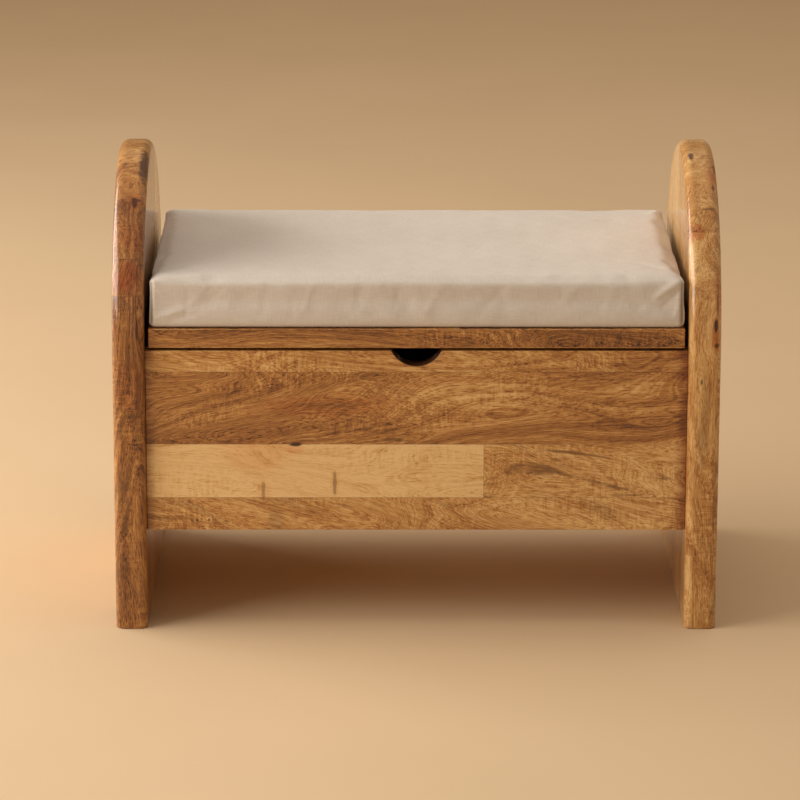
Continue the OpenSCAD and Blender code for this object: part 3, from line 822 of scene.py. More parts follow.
# %% Finger notch
def notch_arc(node, steps=28):
    """The notch's points from right to left as (x, z), its circle's height and its radius."""
    low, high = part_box(node)
    points = [v.co for v in nodes[node].data.vertices]
    near = [p for p in points if abs(p.x) < 0.1 and high.z - 0.03 < p.z < high.z - 2 * MM]
    depth = high.z - min(p.z for p in near)
    chord = max((abs(p.x), p.z) for p in near)
    rise = chord[1] - (high.z - depth)
    radius = (chord[0] ** 2 + rise ** 2) / (2 * rise)
    centre_z = high.z - depth + radius
    half = math.sqrt(radius ** 2 - (centre_z - high.z) ** 2)
    end = math.atan2(half, centre_z - high.z)
    angles = [end - 2 * end * i / steps for i in range(steps + 1)]
    print("finger notch:", round(2 * half / MM, 1), "mm wide and", round(depth / MM, 1), "mm deep")
    arc = [(radius * math.sin(a), centre_z - radius * math.cos(a)) for a in angles]
    return arc, centre_z, radius


arc, arc_height, arc_radius = notch_arc("front_panel")


# %% [markdown]
# ## Staves and marks of the plain boards
#
# The front panel has one pale stave of sapwood between honey-brown ones, and that contrast is its
# most striking feature. So its staves and marks are listed like those of the side panels. The lid's
# front strip is listed too, and the rest of the lid and the back are drawn by seed.

# %% Board staves and marks
# The front and the back from below, the lid from the front
FRONT_STAVES = [
    (33.5, [(1.0, 0.47, 0.45, 0.24)]),
    (55.0, [(0.625, 0.13, 0.0, 0.04), (0.375, 0.45, 1.0, 0.05)]),
    (74.0, [(1.0, 0.66, 0.15, -0.08)]),
    (21.5, [(0.795, 0.52, 0.10, 0.12), (0.205, 0.55, 0.30, -0.06)]),
]
LID_STAVES = [(48, [(0.53, 0.74, 0.4, 0.05), (0.05, 0.54, 0.1, 0.4), (0.42, 0.74, 0.3, -0.04)])]
LID_STAVES += random_strips(random.Random(5), 6, (0.3, 0.62))
BACK_STAVES = random_strips(random.Random(8), 4, (0.25, 0.66))
FRONT_KNOTS = [
    (-119, -168, 188.2, 6, 4, 2.2, 1.0), (-218, -168, 110, 1.4, 3, 1.4, 0.85),
    (-206, -168, 110.5, 1.2, 3, 1.2, 0.8), (-20, -168, 193, 13, 4, 2.2, 0.55),
    (-152, -168, 141, 1.8, 2, 10, 0.45), (-81, -168, 147, 1.6, 2, 12, 0.5),
    (-140, -168, 110, 8, 3, 14, 0.25), (-85, -168, 228, 34, 3, 3, 0.3),
]
FRONT_REDS = [
    (-119, -168, 184, 8, 4, 5, 0.45), (-152, -168, 141, 6, 3, 12, 0.3),
    (-81, -168, 147, 4, 3, 12, 0.3), (-95, -168, 228, 60, 3, 9, 0.45),
    (-160, -168, 176, 30, 3, 16, 0.35),
]
LID_KNOTS = [(120, 60, 306, 8, 5, 5, 0.9), (-150, -60, 286, 9, 6, 6, 0.9)]
BACK_KNOTS = [(90, 168, 215, 10, 6, 7, 0.95), (-170, 168, 140, 6, 4, 4, 0.9)]
print("rows of staves: front", len(FRONT_STAVES), "back", len(BACK_STAVES), "lid", len(LID_STAVES))


# %% [markdown]
# ## Building the plain boards
#
# All three boards go the same way: an outline, eased edges, staves, then the finished piece. The two
# panels get painted shade in their corners, and the front one a painted shadow along its notch.

# %% Front, back and lid
PANEL_EASE = 0.8 * MM
LID_EASE = 1.2 * MM

wall_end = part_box("front_panel")[1].x
notch = (arc_height, arc_radius)
# The panels' ends get painted corner shade up to wall_end, and the front's notch a painted shadow
front_wood = wood_material("front_wood", X, FRONT_KNOTS, FRONT_REDS, shade_end=wall_end, notch=notch)
back_wood = wood_material("back_wood", X, BACK_KNOTS, shade_end=wall_end)
lid_wood = wood_material("lid_wood", X, LID_KNOTS)

low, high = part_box("front_panel")
front_outline = rectangle(low, high, X, Z)
front_outline[3:3] = arc
front_mesh = eased_mesh(slab(front_outline, Y, low.y, high.y), "front_panel_board", PANEL_EASE)
glue_up(front_mesh, X, Z, FRONT_STAVES, random.Random(31))
finished_object("front_panel_board", front_mesh, front_wood, "case", ["front_panel"])

low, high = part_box("back_panel")
back_mesh = eased_mesh(slab(rectangle(low, high, X, Z), Y, low.y, high.y), "back_panel_board", PANEL_EASE)
glue_up(back_mesh, X, Z, BACK_STAVES, random.Random(32))
finished_object("back_panel_board", back_mesh, back_wood, "case", ["back_panel"])

low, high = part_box("lid_board")
lid_mesh = eased_mesh(slab(rectangle(low, high, X, Y), Z, low.z, high.z), "lid_board_piece", LID_EASE)
glue_up(lid_mesh, X, Y, LID_STAVES, random.Random(33))
finished_object("lid_board_piece", lid_mesh, lid_wood, "lid", ["lid_board"])
print("plain boards:", len(front_mesh.polygons), len(back_mesh.polygons), len(lid_mesh.polygons), "faces")


# %% [markdown]
# ## The bottom panel
#
# The bottom panel keeps its countersunk holes, because its screws show when the lid is open. So its
# mesh is a copy of the packed one: the doubled points are merged, the flat triangles are joined to
# larger faces, and then it is marked out in staves like the other boards.

# %% Bottom panel
def merged_copy(node, name):
    """A copy of a CAD node's loose triangles as one welded mesh with large flat faces."""
    bm = bmesh.new()
    bm.from_mesh(nodes[node].data)
    bmesh.ops.remove_doubles(bm, verts=bm.verts, dist=1e-6)
    bmesh.ops.dissolve_limit(bm, angle_limit=0.01, verts=bm.verts, edges=bm.edges)
    mesh = bpy.data.meshes.new(name)
    bm.to_mesh(mesh)
    bm.free()
    for extra in [a.name for a in mesh.attributes if a.name.startswith("custom")]:
        mesh.attributes.remove(mesh.attributes[extra])
    return mesh


inner_wood = wood_material("bottom_wood", X, [(-60, 40, 132, 8, 5, 4, 0.9)], coat=0.08, rough=0.5)
bottom_mesh = merged_copy("bottom_panel", "bottom_panel_board")
glue_up(bottom_mesh, X, Y, random_strips(random.Random(9), 6, (0.08, 0.4)), random.Random(34))
finished_object("bottom_panel_board", bottom_mesh, inner_wood, "case", ["bottom_panel"])
print("bottom panel:", len(bottom_mesh.polygons), "faces")


# %% [markdown]
# ## The cushion
#
# A block of foam sits in a cover of unbleached cotton canvas. The cover's top and walls are one
# cloth, folded down and sewn with a short dart at each corner, so the upper edge is a soft fold
# and only the four upright corner seams show.
#
# It starts as a block with soft edges, slightly smaller than the finished cushion, because it will
# swell. The block is remeshed to even squares, which cloth needs.

# %% Cushion block
CUSHION_SHRINK = Vector((1.2, 1.2, 1.6)) * MM
CUSHION_EDGE = 3.5 * MM
VOXEL = 4.0 * MM

cushion_low, cushion_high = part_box("cushion_cover")
cushion_mid = (cushion_low + cushion_high) / 2
cushion_half = (cushion_high - cushion_low) / 2


def cushion_start():
    """Soft-edged block, a little smaller than the finished cushion, standing on the lid."""
    half = cushion_half - CUSHION_SHRINK
    low = cushion_mid - half
    high = cushion_mid + half
    low.z = cushion_low.z
    bm = slab(rectangle(low, high, X, Y), Z, low.z, high.z)
    mesh = eased_mesh(bm, "cushion", CUSHION_EDGE, 6)
    piece = bpy.data.objects.new("cushion", mesh)
    bpy.context.scene.collection.objects.link(piece)
    even = piece.modifiers.new("even", "REMESH")
    even.mode = "VOXEL"
    even.voxel_size = VOXEL
    apply_modifiers(piece)
    return piece


cushion = cushion_start()
print("cushion block has", len(cushion.data.vertices), "points")


# %% [markdown]
# ## Swelling the cushion
#
# Modelling the swell by hand would look stiff, so the cloth solver does it: the underside is held
# on the lid, and pressure pushes the rest outwards for twenty steps. The travel is capped, because
# foam stops the cloth, and the walls have little room beside the side panels.

# %% Cushion swell
SWELL_STEPS = 20
SWELL_MOST = Vector((1.2, 1.6, 2.6)) * MM


def places_of(mesh):
    flat = np.empty(len(mesh.vertices) * 3)
    mesh.vertices.foreach_get("co", flat)
    return flat.reshape(-1, 3)


def normals_of(mesh):
    flat = np.empty(len(mesh.vertices) * 3)
    mesh.vertices.foreach_get("normal", flat)
    return flat.reshape(-1, 3)


def set_places(mesh, places):
    mesh.vertices.foreach_set("co", places.ravel())
    mesh.update()


def swell(piece):
    """Blows the cloth up against its own stiffness and caps how far each point may go."""
    start = places_of(piece.data)
    held = piece.vertex_groups.new(name="on_lid")
    held.add([int(i) for i in np.where(start[:, Z] < cushion_low.z + 2 * MM)[0]], 1.0, "REPLACE")
    cloth = piece.modifiers.new("canvas", "CLOTH")
    cloth.settings.vertex_group_mass = "on_lid"
    cloth.settings.use_pressure = True
    cloth.settings.uniform_pressure_force = 4.0
    cloth.settings.quality = 5
    cloth.settings.tension_stiffness = 25
    cloth.settings.compression_stiffness = 25
    cloth.settings.bending_stiffness = 2.0
    cloth.settings.effector_weights.gravity = 0
    cloth.collision_settings.use_collision = False
    scene = bpy.context.scene
    for step in range(1, SWELL_STEPS + 1):
        scene.frame_set(step)
    graph = bpy.context.evaluated_depsgraph_get()
    blown = places_of(piece.evaluated_get(graph).to_mesh())
    piece.modifiers.clear()
    piece.vertex_groups.clear()
    scene.frame_set(1)
    travel = blown - start
    cap = np.array(SWELL_MOST)
    travel = cap * np.tanh(travel / cap)
    set_places(piece.data, start + travel)
    print("cushion swelled by up to", np.round(np.abs(travel).max(0) / MM, 2), "mm")


swell(cushion)


# %% [markdown]
# ## Finer mesh and soft shapes
#
# Seams, folds and puckers are narrower than the simulated squares, so they are pressed into a finer
# mesh afterwards. The whole cushion is halved once, and only the strips beside the corner seams are
# cut twice more. Three small shapes do all the pressing: a bell across a line, a fold along a line,
# and a smooth random field for the unevenness of foam.

# %% Refining and soft shapes
SEAM_IN = 4.0 * MM
SEAM_REACH = 9.0 * MM
WALL_STRIP = 10 * MM
FIELD_WAVES = 9


def refine(piece):
    """One even subdivision, then a second one only beside the corner seams."""
    finer = piece.modifiers.new("finer", "SUBSURF")
    finer.levels = finer.render_levels = 1
    apply_modifiers(piece)
    bm = bmesh.new()
    bm.from_mesh(piece.data)
    seam_x = cushion_half.x - SEAM_IN
    wall_y = cushion_half.y - WALL_STRIP
    near = [
        e for e in bm.edges
        if all(abs(abs(v.co.x) - seam_x) < SEAM_REACH and abs(v.co.y) > wall_y for v in e.verts)
    ]
    bmesh.ops.subdivide_edges(bm, edges=near, cuts=2, use_grid_fill=True, smooth=0.0)
    bmesh.ops.triangulate(bm, faces=[f for f in bm.faces if len(f.verts) > 4])
    bm.to_mesh(piece.data)
    bm.free()


def bell(distance, width):
    return np.exp(-(distance / width) ** 2)


def soft_noise(points, size, seed):
    """Smooth random heights from -1 to 1, made of a few waves in seeded directions."""
    rng = np.random.default_rng(seed)
    total = np.zeros(len(points))
    for _ in range(FIELD_WAVES):
        direction = rng.normal(size=3)
        direction /= np.linalg.norm(direction)
        wave = 2 * math.pi / (size * rng.uniform(0.7, 1.6))
        total += np.sin(points @ direction * wave + rng.uniform(0, 2 * math.pi))
    return total / FIELD_WAVES ** 0.5 / 1.5


def fold(points, start, end, width, height):
    """Height of one fold that runs from start to end and fades out at both."""
    a, b = np.array(start), np.array(end)
    line = b - a
    share = (points - a) @ line / (line @ line)
    nearest = a + np.clip(share, 0, 1)[:, None] * line
    distance = np.linalg.norm(points - nearest, axis=1)
    fade = np.sin(np.clip(share, 0, 1) * math.pi) ** 0.7
    return height * bell(distance, width) * fade


print("random fields add up", FIELD_WAVES, "waves")


# %% [markdown]
# ## Where the folds lie
#
# Cloth that is pulled over a corner shows it in folds that run from the corner down into the wall.
# They are listed one by one, each with its start and end in shares of the cushion's half sizes, its
# width and its height in millimetres. A negative height is a hollow.

# %% Folds
CORNER_FOLDS = [
    # Right front corner
    ((0.985, -1.0, 1.0), (0.875, -1.0, 0.15), 3.4, 3.8),
    ((1.0, -1.0, 0.75), (0.90, -1.0, -0.25), 2.8, -2.4),
    ((0.95, -1.0, 0.95), (0.85, -1.0, 0.5), 2.6, -1.0),
    ((0.93, -0.98, 1.0), (0.99, -0.99, 0.7), 3.0, 1.4),
    ((0.985, -1.0, 0.4), (0.95, -1.0, -0.7), 3.0, 1.0),
    ((0.97, -0.85, 1.0), (0.80, -0.55, 1.0), 5.0, -0.8),
    # Left front corner
    ((-0.975, -1.0, -0.6), (-0.84, -1.0, -0.15), 2.2, 1.3),
    ((-0.85, -1.0, -0.2), (-0.76, -1.0, 0.85), 2.6, 1.1),
    ((-0.93, -1.0, -0.75), (-0.80, -1.0, -0.35), 2.6, -0.9),
    ((-0.80, -1.0, -0.1), (-0.70, -1.0, 0.7), 3.0, -0.7),
    ((-0.995, -1.0, 0.95), (-0.93, -1.0, 0.35), 2.6, 1.2),
    ((-0.97, -0.85, 1.0), (-0.78, -0.5, 1.0), 5.0, -0.8),
    # Back corners
    ((-0.99, 1.0, 0.9), (-0.9, 1.0, 0.3), 4.0, 1.2),
    ((0.99, 1.0, 0.9), (0.88, 1.0, 0.2), 4.0, 1.2),
    ((-0.99, 0.97, 1.0), (-0.93, 0.75, 1.0), 4.0, 1.3),
    ((0.99, 0.97, 1.0), (0.93, 0.75, 1.0), 4.0, 1.3),
    # Side walls
    ((-1.0, -0.95, 0.8), (-1.0, -0.75, -0.2), 4.0, 0.8),
    ((1.0, -0.95, 0.8), (1.0, -0.75, -0.2), 4.0, 0.8),
    # Front wall between the corners
    ((-0.38, -1.0, 0.95), (-0.42, -1.0, -0.4), 3.5, 0.8),
    ((-0.20, -1.0, 1.0), (-0.22, -1.0, -0.3), 5.0, -0.9),
    ((-0.05, -1.0, 1.0), (-0.08, -1.0, -0.1), 5.0, -0.9),
    ((0.35, -1.0, 0.9), (0.22, -1.0, -0.5), 5.0, -0.7),
    ((0.62, -1.0, 0.9), (0.52, -1.0, -0.2), 4.0, 0.8),
    ((0.10, -1.0, 0.9), (0.02, -1.0, -0.7), 3.5, 0.6),
]
CREASES_PER_WALL = 26
print(len(CORNER_FOLDS), "folds are listed, and", CREASES_PER_WALL, "creases a wall are drawn by seed")


# %% [markdown]
# ## Sewing and pressing
#
# A corner seam is a narrow valley between two soft lips, and it puckers where the needle went in.
# Between its corners each wall pulls in a little, because the cloth is tight, and the upper fold is
# pressed sharp by the same pull. Every shape adds to one number per point, the push along its
# normal, and all points move once at the end. How deep a point lies in a seam's valley is kept as
# an attribute, in which the canvas paints the valley's shade.

# %% Seams, folds and puckers
PUCKER_PITCH = 5.2 * MM
LIP_RISE = 0.4 * MM
SEAM_WIDTH, SEAM_DEPTH = 1.5 * MM, 1.8 * MM
WALL_PULL = 1.2 * MM
CLOSING_HEIGHT = 13.0 * MM
CLOSING_REACH = 0.93
FOLD_OUT = 1.3 * MM
FOLD_REACH = 4.5 * MM


def corner_seams(local, half, above_lid):
    """Push of the four upright seams, and how deep in a seam each point lies, where shade is painted."""
    on_wall = np.clip((np.abs(local[:, Y]) - half[Y] + 9 * MM) / (6 * MM), 0, 1)
    from_seam = np.abs(local[:, X]) - (half[X] - SEAM_IN)
    turn = above_lid / PUCKER_PITCH * 2 * math.pi + 3 * np.sign(local[:, X]) + local[:, Y] * 40
    pucker = 1 + 0.3 * np.sin(turn)
    lips = LIP_RISE * pucker * (bell(from_seam + 3.4 * MM, 2.4 * MM) + bell(from_seam - 2.8 * MM, 1.8 * MM))
    valley = bell(from_seam, SEAM_WIDTH)
    rising = on_wall * np.clip(above_lid / (8 * MM), 0, 1)
    return rising * (lips - SEAM_DEPTH * valley), rising * valley


def wall_pull(local, half, above_lid, normals):
    """How far the walls are pulled in between their corners, most at half height."""
    along_front, along_side = np.abs(local[:, X]) / half[X], np.abs(local[:, Y]) / half[Y]
    front_wall = np.clip(np.abs(normals[:, Y]) * 1.5 - 0.5, 0, 1) * (1 - np.clip(along_front, 0, 1) ** 10)
    side_wall = np.clip(np.abs(normals[:, X]) * 1.5 - 0.5, 0, 1) * (1 - np.clip(along_side, 0, 1) ** 8)
    height = np.clip(above_lid / (2 * half[Z]), 0, 1)
    return (front_wall + side_wall) * WALL_PULL * np.sin(height * math.pi) ** 0.8


def folds_and_creases(local, half):
    """Push of the listed folds and of the seeded creases that run down the front and back walls."""
    x, y, z = half
    push = np.zeros(len(local))
    for start, end, width, height in CORNER_FOLDS:
        push += fold(local, np.array(start) * half, np.array(end) * half, width * MM, height * MM)
    rng = np.random.default_rng(12)
    for side in (-1, 1):
        for _ in range(CREASES_PER_WALL):
            along = rng.uniform(-0.9, 0.9)
            reach = rng.uniform(0.3, 1.2)
            a = (along * x, side * y, z * 0.95)
            b = ((along + rng.uniform(-0.03, 0.03)) * x, side * y, z * (0.95 - 1.5 * reach))
            push += fold(local, a, b, rng.uniform(2.8, 7.0) * MM, rng.uniform(-0.6, 0.4) * MM)
    return push


def sharpen_upper_fold(moved, local, half):
    from_top = half[Z] - local[:, Z]
    for axis, room_left in ((Y, half[Y] - np.abs(local[:, Y])), (X, half[X] - np.abs(local[:, X]))):
        sharpen = FOLD_OUT * bell(np.hypot(from_top, room_left), FOLD_REACH)
        moved[:, axis] += np.sign(local[:, axis]) * sharpen
        moved[:, Z] += sharpen


def work_cloth(piece):
    mesh = piece.data
    points, normals = places_of(mesh), normals_of(mesh)
    half, middle = np.array(cushion_half), np.array(cushion_mid)
    local = points - middle
    above_lid = points[:, Z] - cushion_low.z
    push, seam_painted_shade = corner_seams(local, half, above_lid)
    # Seam depth is kept so that the canvas paints shade in the seams' valleys
    mesh.attributes.new("seam", "FLOAT", "POINT").data.foreach_set("value", seam_painted_shade)
    push -= wall_pull(local, half, above_lid, normals)

    # The closing seam runs along the back wall, a little above the lid
    on_back = np.clip(local[:, Y] / half[Y] * 8 - 7, 0, 1) * (np.abs(local[:, X]) < CLOSING_REACH * half[X])
    push -= on_back * 0.9 * MM * bell(above_lid - CLOSING_HEIGHT, 1.8 * MM)

    # Broad and small unevenness of the foam and the cloth over it
    upper = np.clip(above_lid / (8 * MM), 0, 1)
    push += upper * 0.60 * MM * soft_noise(local, 90 * MM, 3)
    push += upper * 0.26 * MM * soft_noise(local, 26 * MM, 4)
    push += folds_and_creases(local, half)
    moved = points + normals * push[:, None]
    sharpen_upper_fold(moved, local, half)

    # The walls stay clear of the side panels, and the underside stays on the lid
    room = half + np.array((0.8, 6.0, 6.0)) * MM
    moved = np.clip(moved - middle, -room, room) + middle
    moved[:, Z] = np.maximum(moved[:, Z], cushion_low.z)
    set_places(mesh, moved)


refine(cushion)
work_cloth(cushion)
print("cushion has", len(cushion.data.polygons), "faces after its seams")


# %% [markdown]
# ## Canvas
#
# Canvas is a plain weave of thick uneven threads. The threads run with the cloth: along the top,
# then down over the fold into the walls. So the cushion gets its own UV map in metres, in which the
# walls are the top folded out flat, and the weave continues over the edge. Two sets of threads
# cross in it, each thread has its own shade, thick slubs lighten a thread for a few centimetres,
# and a few brown flecks of seed are left in the yarn.

# %% Canvas map and finish
THREAD = 0.75 * MM
YARN_TONES = [
    (0.0, paint(173, 163, 150)), (0.5, paint(207, 197, 186)), (1.0, paint(229, 221, 212)),
]


def unfold(mesh):
    """UV map in metres: the top as it is, each wall folded out from the top's edge."""
    layer = mesh.uv_layers.new(name="weave")
    lift = cushion_high.z
    for face in mesh.polygons:
        nx, ny, nz = face.normal
        for loop in face.loop_indices:
            x, y, z = mesh.vertices[mesh.loops[loop].vertex_index].co
            drop = lift - z
            if abs(nz) >= max(abs(nx), abs(ny)):
                u, v = x, y
            elif abs(ny) >= abs(nx):
                u, v = x, y + math.copysign(drop, ny)
            else:
                u, v = x + math.copysign(drop, nx), y
            layer.data[loop].uv = (u, v)


def canvas_material():
    material, t = new_material("canvas")
    u, v, _ = t.split(t.node("ShaderNodeUVMap", uv_map="weave").outputs[0])

    def threads(across, along):
        """One set of threads: its round profile and its thread-by-thread shade with slubs."""
        turn = t.math("MULTIPLY", across, 2 * math.pi / THREAD)
        profile = t.math("MULTIPLY_ADD", t.math("SINE", turn), 0.5, 0.5)
        each = t.combine(t.math("MULTIPLY", across, 1 / THREAD), t.math("MULTIPLY", along, 90.0), 0.0)
        shade = t.noise(each, detail=3, roughness=0.6)
        slub = t.combine(t.math("MULTIPLY", across, 600.0), t.math("MULTIPLY", along, 75.0), 3.0)
        return profile, t.math("MULTIPLY_ADD", t.noise(slub, detail=2), 0.5, t.math("MULTIPLY", shade, 0.6))

    warp, warp_shade = threads(u, v)
    weft, weft_shade = threads(v, u)
    over = t.step(t.math("SUBTRACT", warp, weft), -0.6, 0.6)
    shade = t.math("MULTIPLY_ADD", t.math("SUBTRACT", warp_shade, weft_shade), over, weft_shade)
    cloth = t.noise(t.combine(u, v, 0.0), scale=9.0, detail=2)
    depth = t.math("MULTIPLY_ADD", cloth, 0.24, t.math("MULTIPLY_ADD", shade, 0.95, -0.14))
    colour = t.ramp(depth, YARN_TONES)
    dots = t.noise(t.combine(u, v, 5.0), scale=260.0, detail=1)
    fleck = t.step(dots, 0.80, 0.84)
    colour = t.mix(t.math("MULTIPLY", fleck, 0.7), colour, paint(120, 92, 62))
    # Painted shade in the valleys of the corner seams
    colour = t.mix(t.math("MULTIPLY", t.attribute("seam")["Fac"], 0.6), colour, paint(120, 104, 84))
    relief = t.math("MULTIPLY_ADD", t.math("MAXIMUM", warp, weft), 0.6, t.math("MULTIPLY", shade, 0.8))
    finish_material(
        t, {"Base Color": colour}, relief, bump_mm=0.22, bump_strength=0.6,
        Roughness=0.92, Sheen_Weight=0.12, Sheen_Roughness=0.5, IOR=1.4,
    )
    return material


unfold(cushion.data)
cushion.data.materials.append(canvas_material())
cushion.data.shade_smooth()
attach(cushion, "lid")
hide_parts("cushion_cover", "cushion_foam")
print("threads are", round(THREAD / MM, 2), "mm apart")


# %% [markdown]
# ## Closing stitches
#
# The foam goes into its cover through a slit in the back, which is then sewn shut by hand with a
# row of short slanting stitches. A row that follows a surface is a task for Geometry Nodes: a line
# is cut into equal steps, each point moves to the nearest place on the cloth, and a small thread
# bead is set there, turned along the line. The row's reach and place, its spacing and the slant are the
# tree's inputs; the stitch size is fixed.

# %% Stitch tree
STITCH_PITCH = 6.0 * MM
STITCH_LENGTH = 4.2 * MM
STITCH_THICK = 0.9 * MM
BEAD_POINTS = 42


def stitch_tree(cloth, thread):
    usual = {"Reach": 0.25, "Place Y": 0.15, "Place Z": 0.3, "Pitch": 0.006, "Slant": 0.4}
    tree, t = size_tree("closing_stitches", usual)
    sizes = t.node("NodeGroupInput").outputs
    start = t.combine(t.math("MULTIPLY", sizes["Reach"], -1.0), sizes["Place Y"], sizes["Place Z"])
    end = t.combine(sizes["Reach"], sizes["Place Y"], sizes["Place Z"])
    line = t.node("GeometryNodeCurvePrimitiveLine", {"Start": start, "End": end}).outputs[0]
    equal = {"Curve": line, "Length": sizes["Pitch"]}
    steps = t.node("GeometryNodeResampleCurve", equal, mode="LENGTH").outputs[0]
    surface = t.node("GeometryNodeObjectInfo", {"Object": cloth}).outputs["Geometry"]
    nearest = t.node("GeometryNodeProximity", {0: surface}, target_element="FACES").outputs["Position"]
    laid = t.node("GeometryNodeSetPosition", {"Geometry": steps, "Position": nearest}).outputs[0]
    bead = t.node("GeometryNodeMeshUVSphere", {"Segments": 8, "Rings": 6, "Radius": 0.5}).outputs[0]
    row = t.node("GeometryNodeInstanceOnPoints", {
        "Points": laid, "Instance": bead, "Rotation": t.combine(0.0, sizes["Slant"], 0.0),
        "Scale": (STITCH_LENGTH, STITCH_THICK, STITCH_THICK),
    }).outputs[0]
    real = t.node("GeometryNodeRealizeInstances", {"Geometry": row}).outputs[0]
    smooth = t.node("GeometryNodeSetShadeSmooth", {"Geometry": real}).outputs[0]
    painted = t.node("GeometryNodeSetMaterial", {"Geometry": smooth, "Material": thread}).outputs[0]
    t.node("NodeGroupOutput", {"Geometry": painted})
    return tree


def thread_material():
    """Twisted cotton thread: fine slanting plies across each stitch."""
    material, t = new_material("cotton_thread")
    place = t.node("ShaderNodeTexCoord").outputs["Object"]
    plies = t.noise(t.vector("MULTIPLY", place, (2600.0, 900.0, 2600.0)), detail=2)
    colour = t.mix(plies, paint(176, 160, 134), paint(214, 200, 176))
    finish_material(t, {"Base Color": colour}, plies, bump_mm=0.08, Roughness=0.85)
    return material


seam_line = {
    "Reach": CLOSING_REACH * cushion_half.x, "Place Y": cushion_high.y,
    "Place Z": cushion_low.z + CLOSING_HEIGHT, "Pitch": STITCH_PITCH,
}
stitch_mesh = grow(stitch_tree(cushion, thread_material()), "stitches", **seam_line)
stitches = bpy.data.objects.new("closing_stitches", stitch_mesh)
bpy.context.scene.collection.objects.link(stitches)
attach(stitches, "lid")
print("closing seam has", len(stitch_mesh.vertices) // BEAD_POINTS, "stitches")


# %% [markdown]
# ## Metal, plastic, rubber and tape
#
# Brass hinge leaves are brushed along their length and a little tarnished. Zinc-plated steel has a
# cloudy shine, moulded plastic and rubber a fine even grain, and hook-and-loop tape is a field of
# tiny loops in rows. Each is one or two noises, so a short recipe per family is enough.

# %% Small finishes
def metal_material(name, bright, dull, rough, brushed_axis=X):
    material, t = new_material(name)
    place = t.node("ShaderNodeTexCoord").outputs["Object"]
    brush = [2600.0, 2600.0, 2600.0]
    brush[brushed_axis] = 60.0
    lines = t.noise(t.vector("MULTIPLY", place, tuple(brush)), detail=2, roughness=0.6)
    clouds = t.noise(place, scale=160.0, detail=4, roughness=0.6)
    colour = t.mix(t.step(clouds, 0.40, 0.72), bright, dull)
    roughness = t.math("MULTIPLY_ADD", lines, 0.16, t.math("MULTIPLY_ADD", clouds, 0.22, rough - 0.18))
    relief = t.math("MULTIPLY_ADD", lines, 0.5, t.math("MULTIPLY", clouds, 0.2))
    surface = {"Base Color": colour, "Roughness": roughness}
    finish_material(t, surface, relief, bump_mm=0.02, bump_strength=0.5, Metallic=1.0)
    return material


def grained_material(name, light, dark, rough, grain_scale, bump_mm):
    """Plastic or rubber: an even fine grain over a slightly cloudy colour."""
    material, t = new_material(name)
    place = t.node("ShaderNodeTexCoord").outputs["Object"]
    grain = t.noise(place, scale=grain_scale, detail=2, roughness=0.6)
    clouds = t.noise(place, scale=70.0, detail=3)
    colour = t.mix(t.math("MULTIPLY_ADD", clouds, 0.7, t.math("MULTIPLY", grain, 0.3)), light, dark)
    roughness = t.math("MULTIPLY_ADD", grain, 0.2, rough - 0.1)
    finish_material(t, {"Base Color": colour, "Roughness": roughness}, grain, bump_mm=bump_mm, IOR=1.5)
    return material


def tape_material():
    """Hook-and-loop tape: rows of tiny loops on a woven band."""
    material, t = new_material("hook_tape")
    place = t.node("ShaderNodeTexCoord").outputs["Object"]
    rows = t.noise(t.vector("MULTIPLY", place, (500.0, 900.0, 900.0)), detail=3, roughness=0.7)
    fuzz = t.noise(place, scale=2400.0, detail=2)
    colour = t.ramp(t.math("MULTIPLY_ADD", fuzz, 0.4, t.math("MULTIPLY", rows, 0.6)),
                    [(0.3, paint(70, 62, 54)), (0.7, paint(132, 122, 110))])
    finish_material(t, {"Base Color": colour}, t.math("ADD", rows, fuzz), bump_mm=0.3, Roughness=0.95)
    return material


ZINC, DULL_ZINC = paint(206, 206, 204), paint(150, 152, 154)
print("bright zinc as light:", [round(v, 2) for v in ZINC[:3]])


# %% [markdown]
# ## Dressing the packed parts
#
# The hinges, the screws, the lid support, the bumpers, the dowels and the tape keep their packed
# shapes and only need their finishes. The record names a material slot for every part, so a table
# from slot to finish dresses them all, and no part can be forgotten.

# %% Finishes by slot
finishes = {
    "side_wood": left_wood,
    "box_wood": front_wood,
    "lid_wood": lid_wood,
    "inner_wood": wood_material("batten_wood", X, tone=0.25, streak=0.1, coat=0.05, rough=0.55),
    "dowel_wood": wood_material("dowel_wood", X, tone=0.12, coat=0.0, rough=0.6),
    "canvas": cushion.data.materials[0],
    "foam": grained_material("foam", paint(238, 226, 190), paint(224, 208, 166), 0.9, 900.0, 0.4),
    "hook_tape": tape_material(),
    "hinge_brass": metal_material("hinge_brass", paint(214, 178, 104), paint(150, 112, 58), 0.36),
    "steel": metal_material("zinc_steel", ZINC, DULL_ZINC, 0.34, Z),
    "stay_plastic": grained_material(
        "stay_plastic", paint(232, 229, 222), paint(222, 218, 208), 0.45, 1500.0, 0.06,
    ),
    "bumper_rubber": grained_material(
        "bumper_rubber", paint(64, 58, 52), paint(46, 42, 38), 0.7, 1100.0, 0.05,
    ),
}
for part in frame["record"]["subparts"]:
    packed = nodes[part["node"]]
    packed.data.materials.clear()
    packed.data.materials.append(finishes[part["material_slot"]])
print(len(finishes), "finishes on", len(nodes), "packed parts")


# %% [markdown]
# ## The floor
#
# The floor is plain and pale, and sweeps up into a wall far behind, like a roll of studio paper, so
# that no line cuts the picture. It is one profile pulled along X. It belongs to the stage, not to
# the toy box.

# %% Floor
FLOOR_REACH = 6.0
SWEEP_RADIUS = 1.2
SWEEP_STEPS = 16
WALL_HEIGHT = 4.0


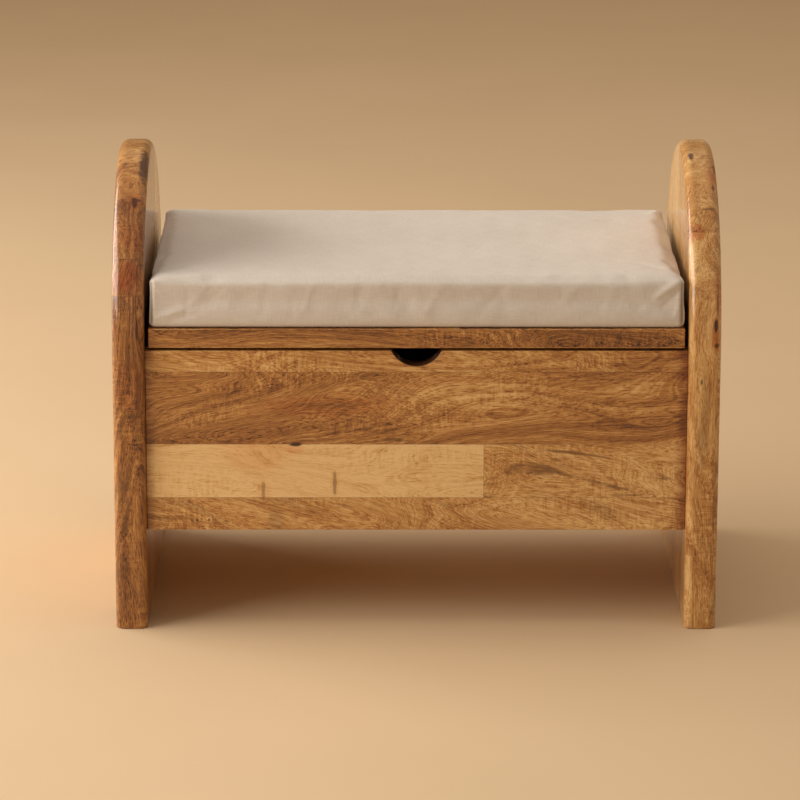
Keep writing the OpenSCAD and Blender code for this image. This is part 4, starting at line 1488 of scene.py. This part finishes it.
def sweep_floor():
    """Floor that curves up into a wall, as one sheet of a profile pulled along X."""
    back = FLOOR_REACH - SWEEP_RADIUS
    angles = [i / SWEEP_STEPS * math.pi / 2 for i in range(SWEEP_STEPS + 1)]
    sweep = [(back + SWEEP_RADIUS * math.sin(a), SWEEP_RADIUS * (1 - math.cos(a))) for a in angles]
    profile = [(-FLOOR_REACH, 0.0)] + sweep + [(FLOOR_REACH, WALL_HEIGHT)]
    points = [(x, y, z) for y, z in profile for x in (-FLOOR_REACH, FLOOR_REACH)]
    faces = [(2 * i, 2 * i + 1, 2 * i + 3, 2 * i + 2) for i in range(len(profile) - 1)]
    mesh = bpy.data.meshes.new("floor")
    mesh.from_pydata(points, [], faces)
    mesh.shade_smooth()
    floor = bpy.data.objects.new("floor", mesh)
    bpy.context.scene.collection.objects.link(floor)
    return floor


def floor_material():
    material, t = new_material("pale_floor")
    place = t.node("ShaderNodeTexCoord").outputs["Object"]
    clouds = t.noise(place, scale=3.0, detail=3)
    colour = t.mix(clouds, paint(216, 188, 152), paint(208, 180, 144))
    finish_material(t, {"Base Color": colour}, Roughness=0.75, Specular_IOR_Level=0.25)
    return material


floor = sweep_floor()
floor.data.materials.append(floor_material())
print("the floor sweeps up", FLOOR_REACH - SWEEP_RADIUS, "metres behind the box")


# %% [markdown]
# ## Light
#
# The key is one broad soft light on the left, a little in front. It makes the left-hand round-overs
# glow, and the arch throws a soft shadow over the left end of the cushion. A small rim light stands
# behind on the left and draws the outline of the left arch. A weaker light hangs overhead. It is
# left out of reflections, because a haze on the lacquer would hide the wood. A dim warm studio all
# round fills the shadows.

# %% World and lights
def soft_light(name, place, target, size, power, colour):
    light = bpy.data.lights.new(name, "AREA")
    light.shape = "RECTANGLE"
    light.size, light.size_y = size
    light.energy = power
    light.color = colour[:3]
    lamp = bpy.data.objects.new(name, light)
    bpy.context.scene.collection.objects.link(lamp)
    direction = Vector(target) - Vector(place)
    lamp.rotation_euler = direction.to_track_quat("-Z", "Y").to_euler()
    lamp.location = place
    return lamp


world = bpy.data.worlds.new("studio")
world.use_nodes = True
sky = Tree(world.node_tree)
glow = sky.node("ShaderNodeBackground", {"Color": paint(238, 220, 198), "Strength": 0.50})
sky.node("ShaderNodeOutputWorld", {"Surface": glow.outputs[0]})
bpy.context.scene.world = world

WARM, PALE = (1.0, 0.955, 0.89), (1.0, 0.975, 0.94)
soft_light("key", (-2.35, -0.72, 1.30), (0, 0, 0.25), (2.5, 1.5), 68, WARM)
soft_light("rim", (-2.4, 1.1, 0.9), (0, 0, 0.3), (1.2, 1.6), 32, WARM)
overhead = soft_light("overhead", (0.0, 0.5, 3.3), (0, 0, 0.2), (4.4, 3.4), 38, PALE)
overhead.visible_glossy = False
bpy.context.scene.view_settings.view_transform = "Standard"
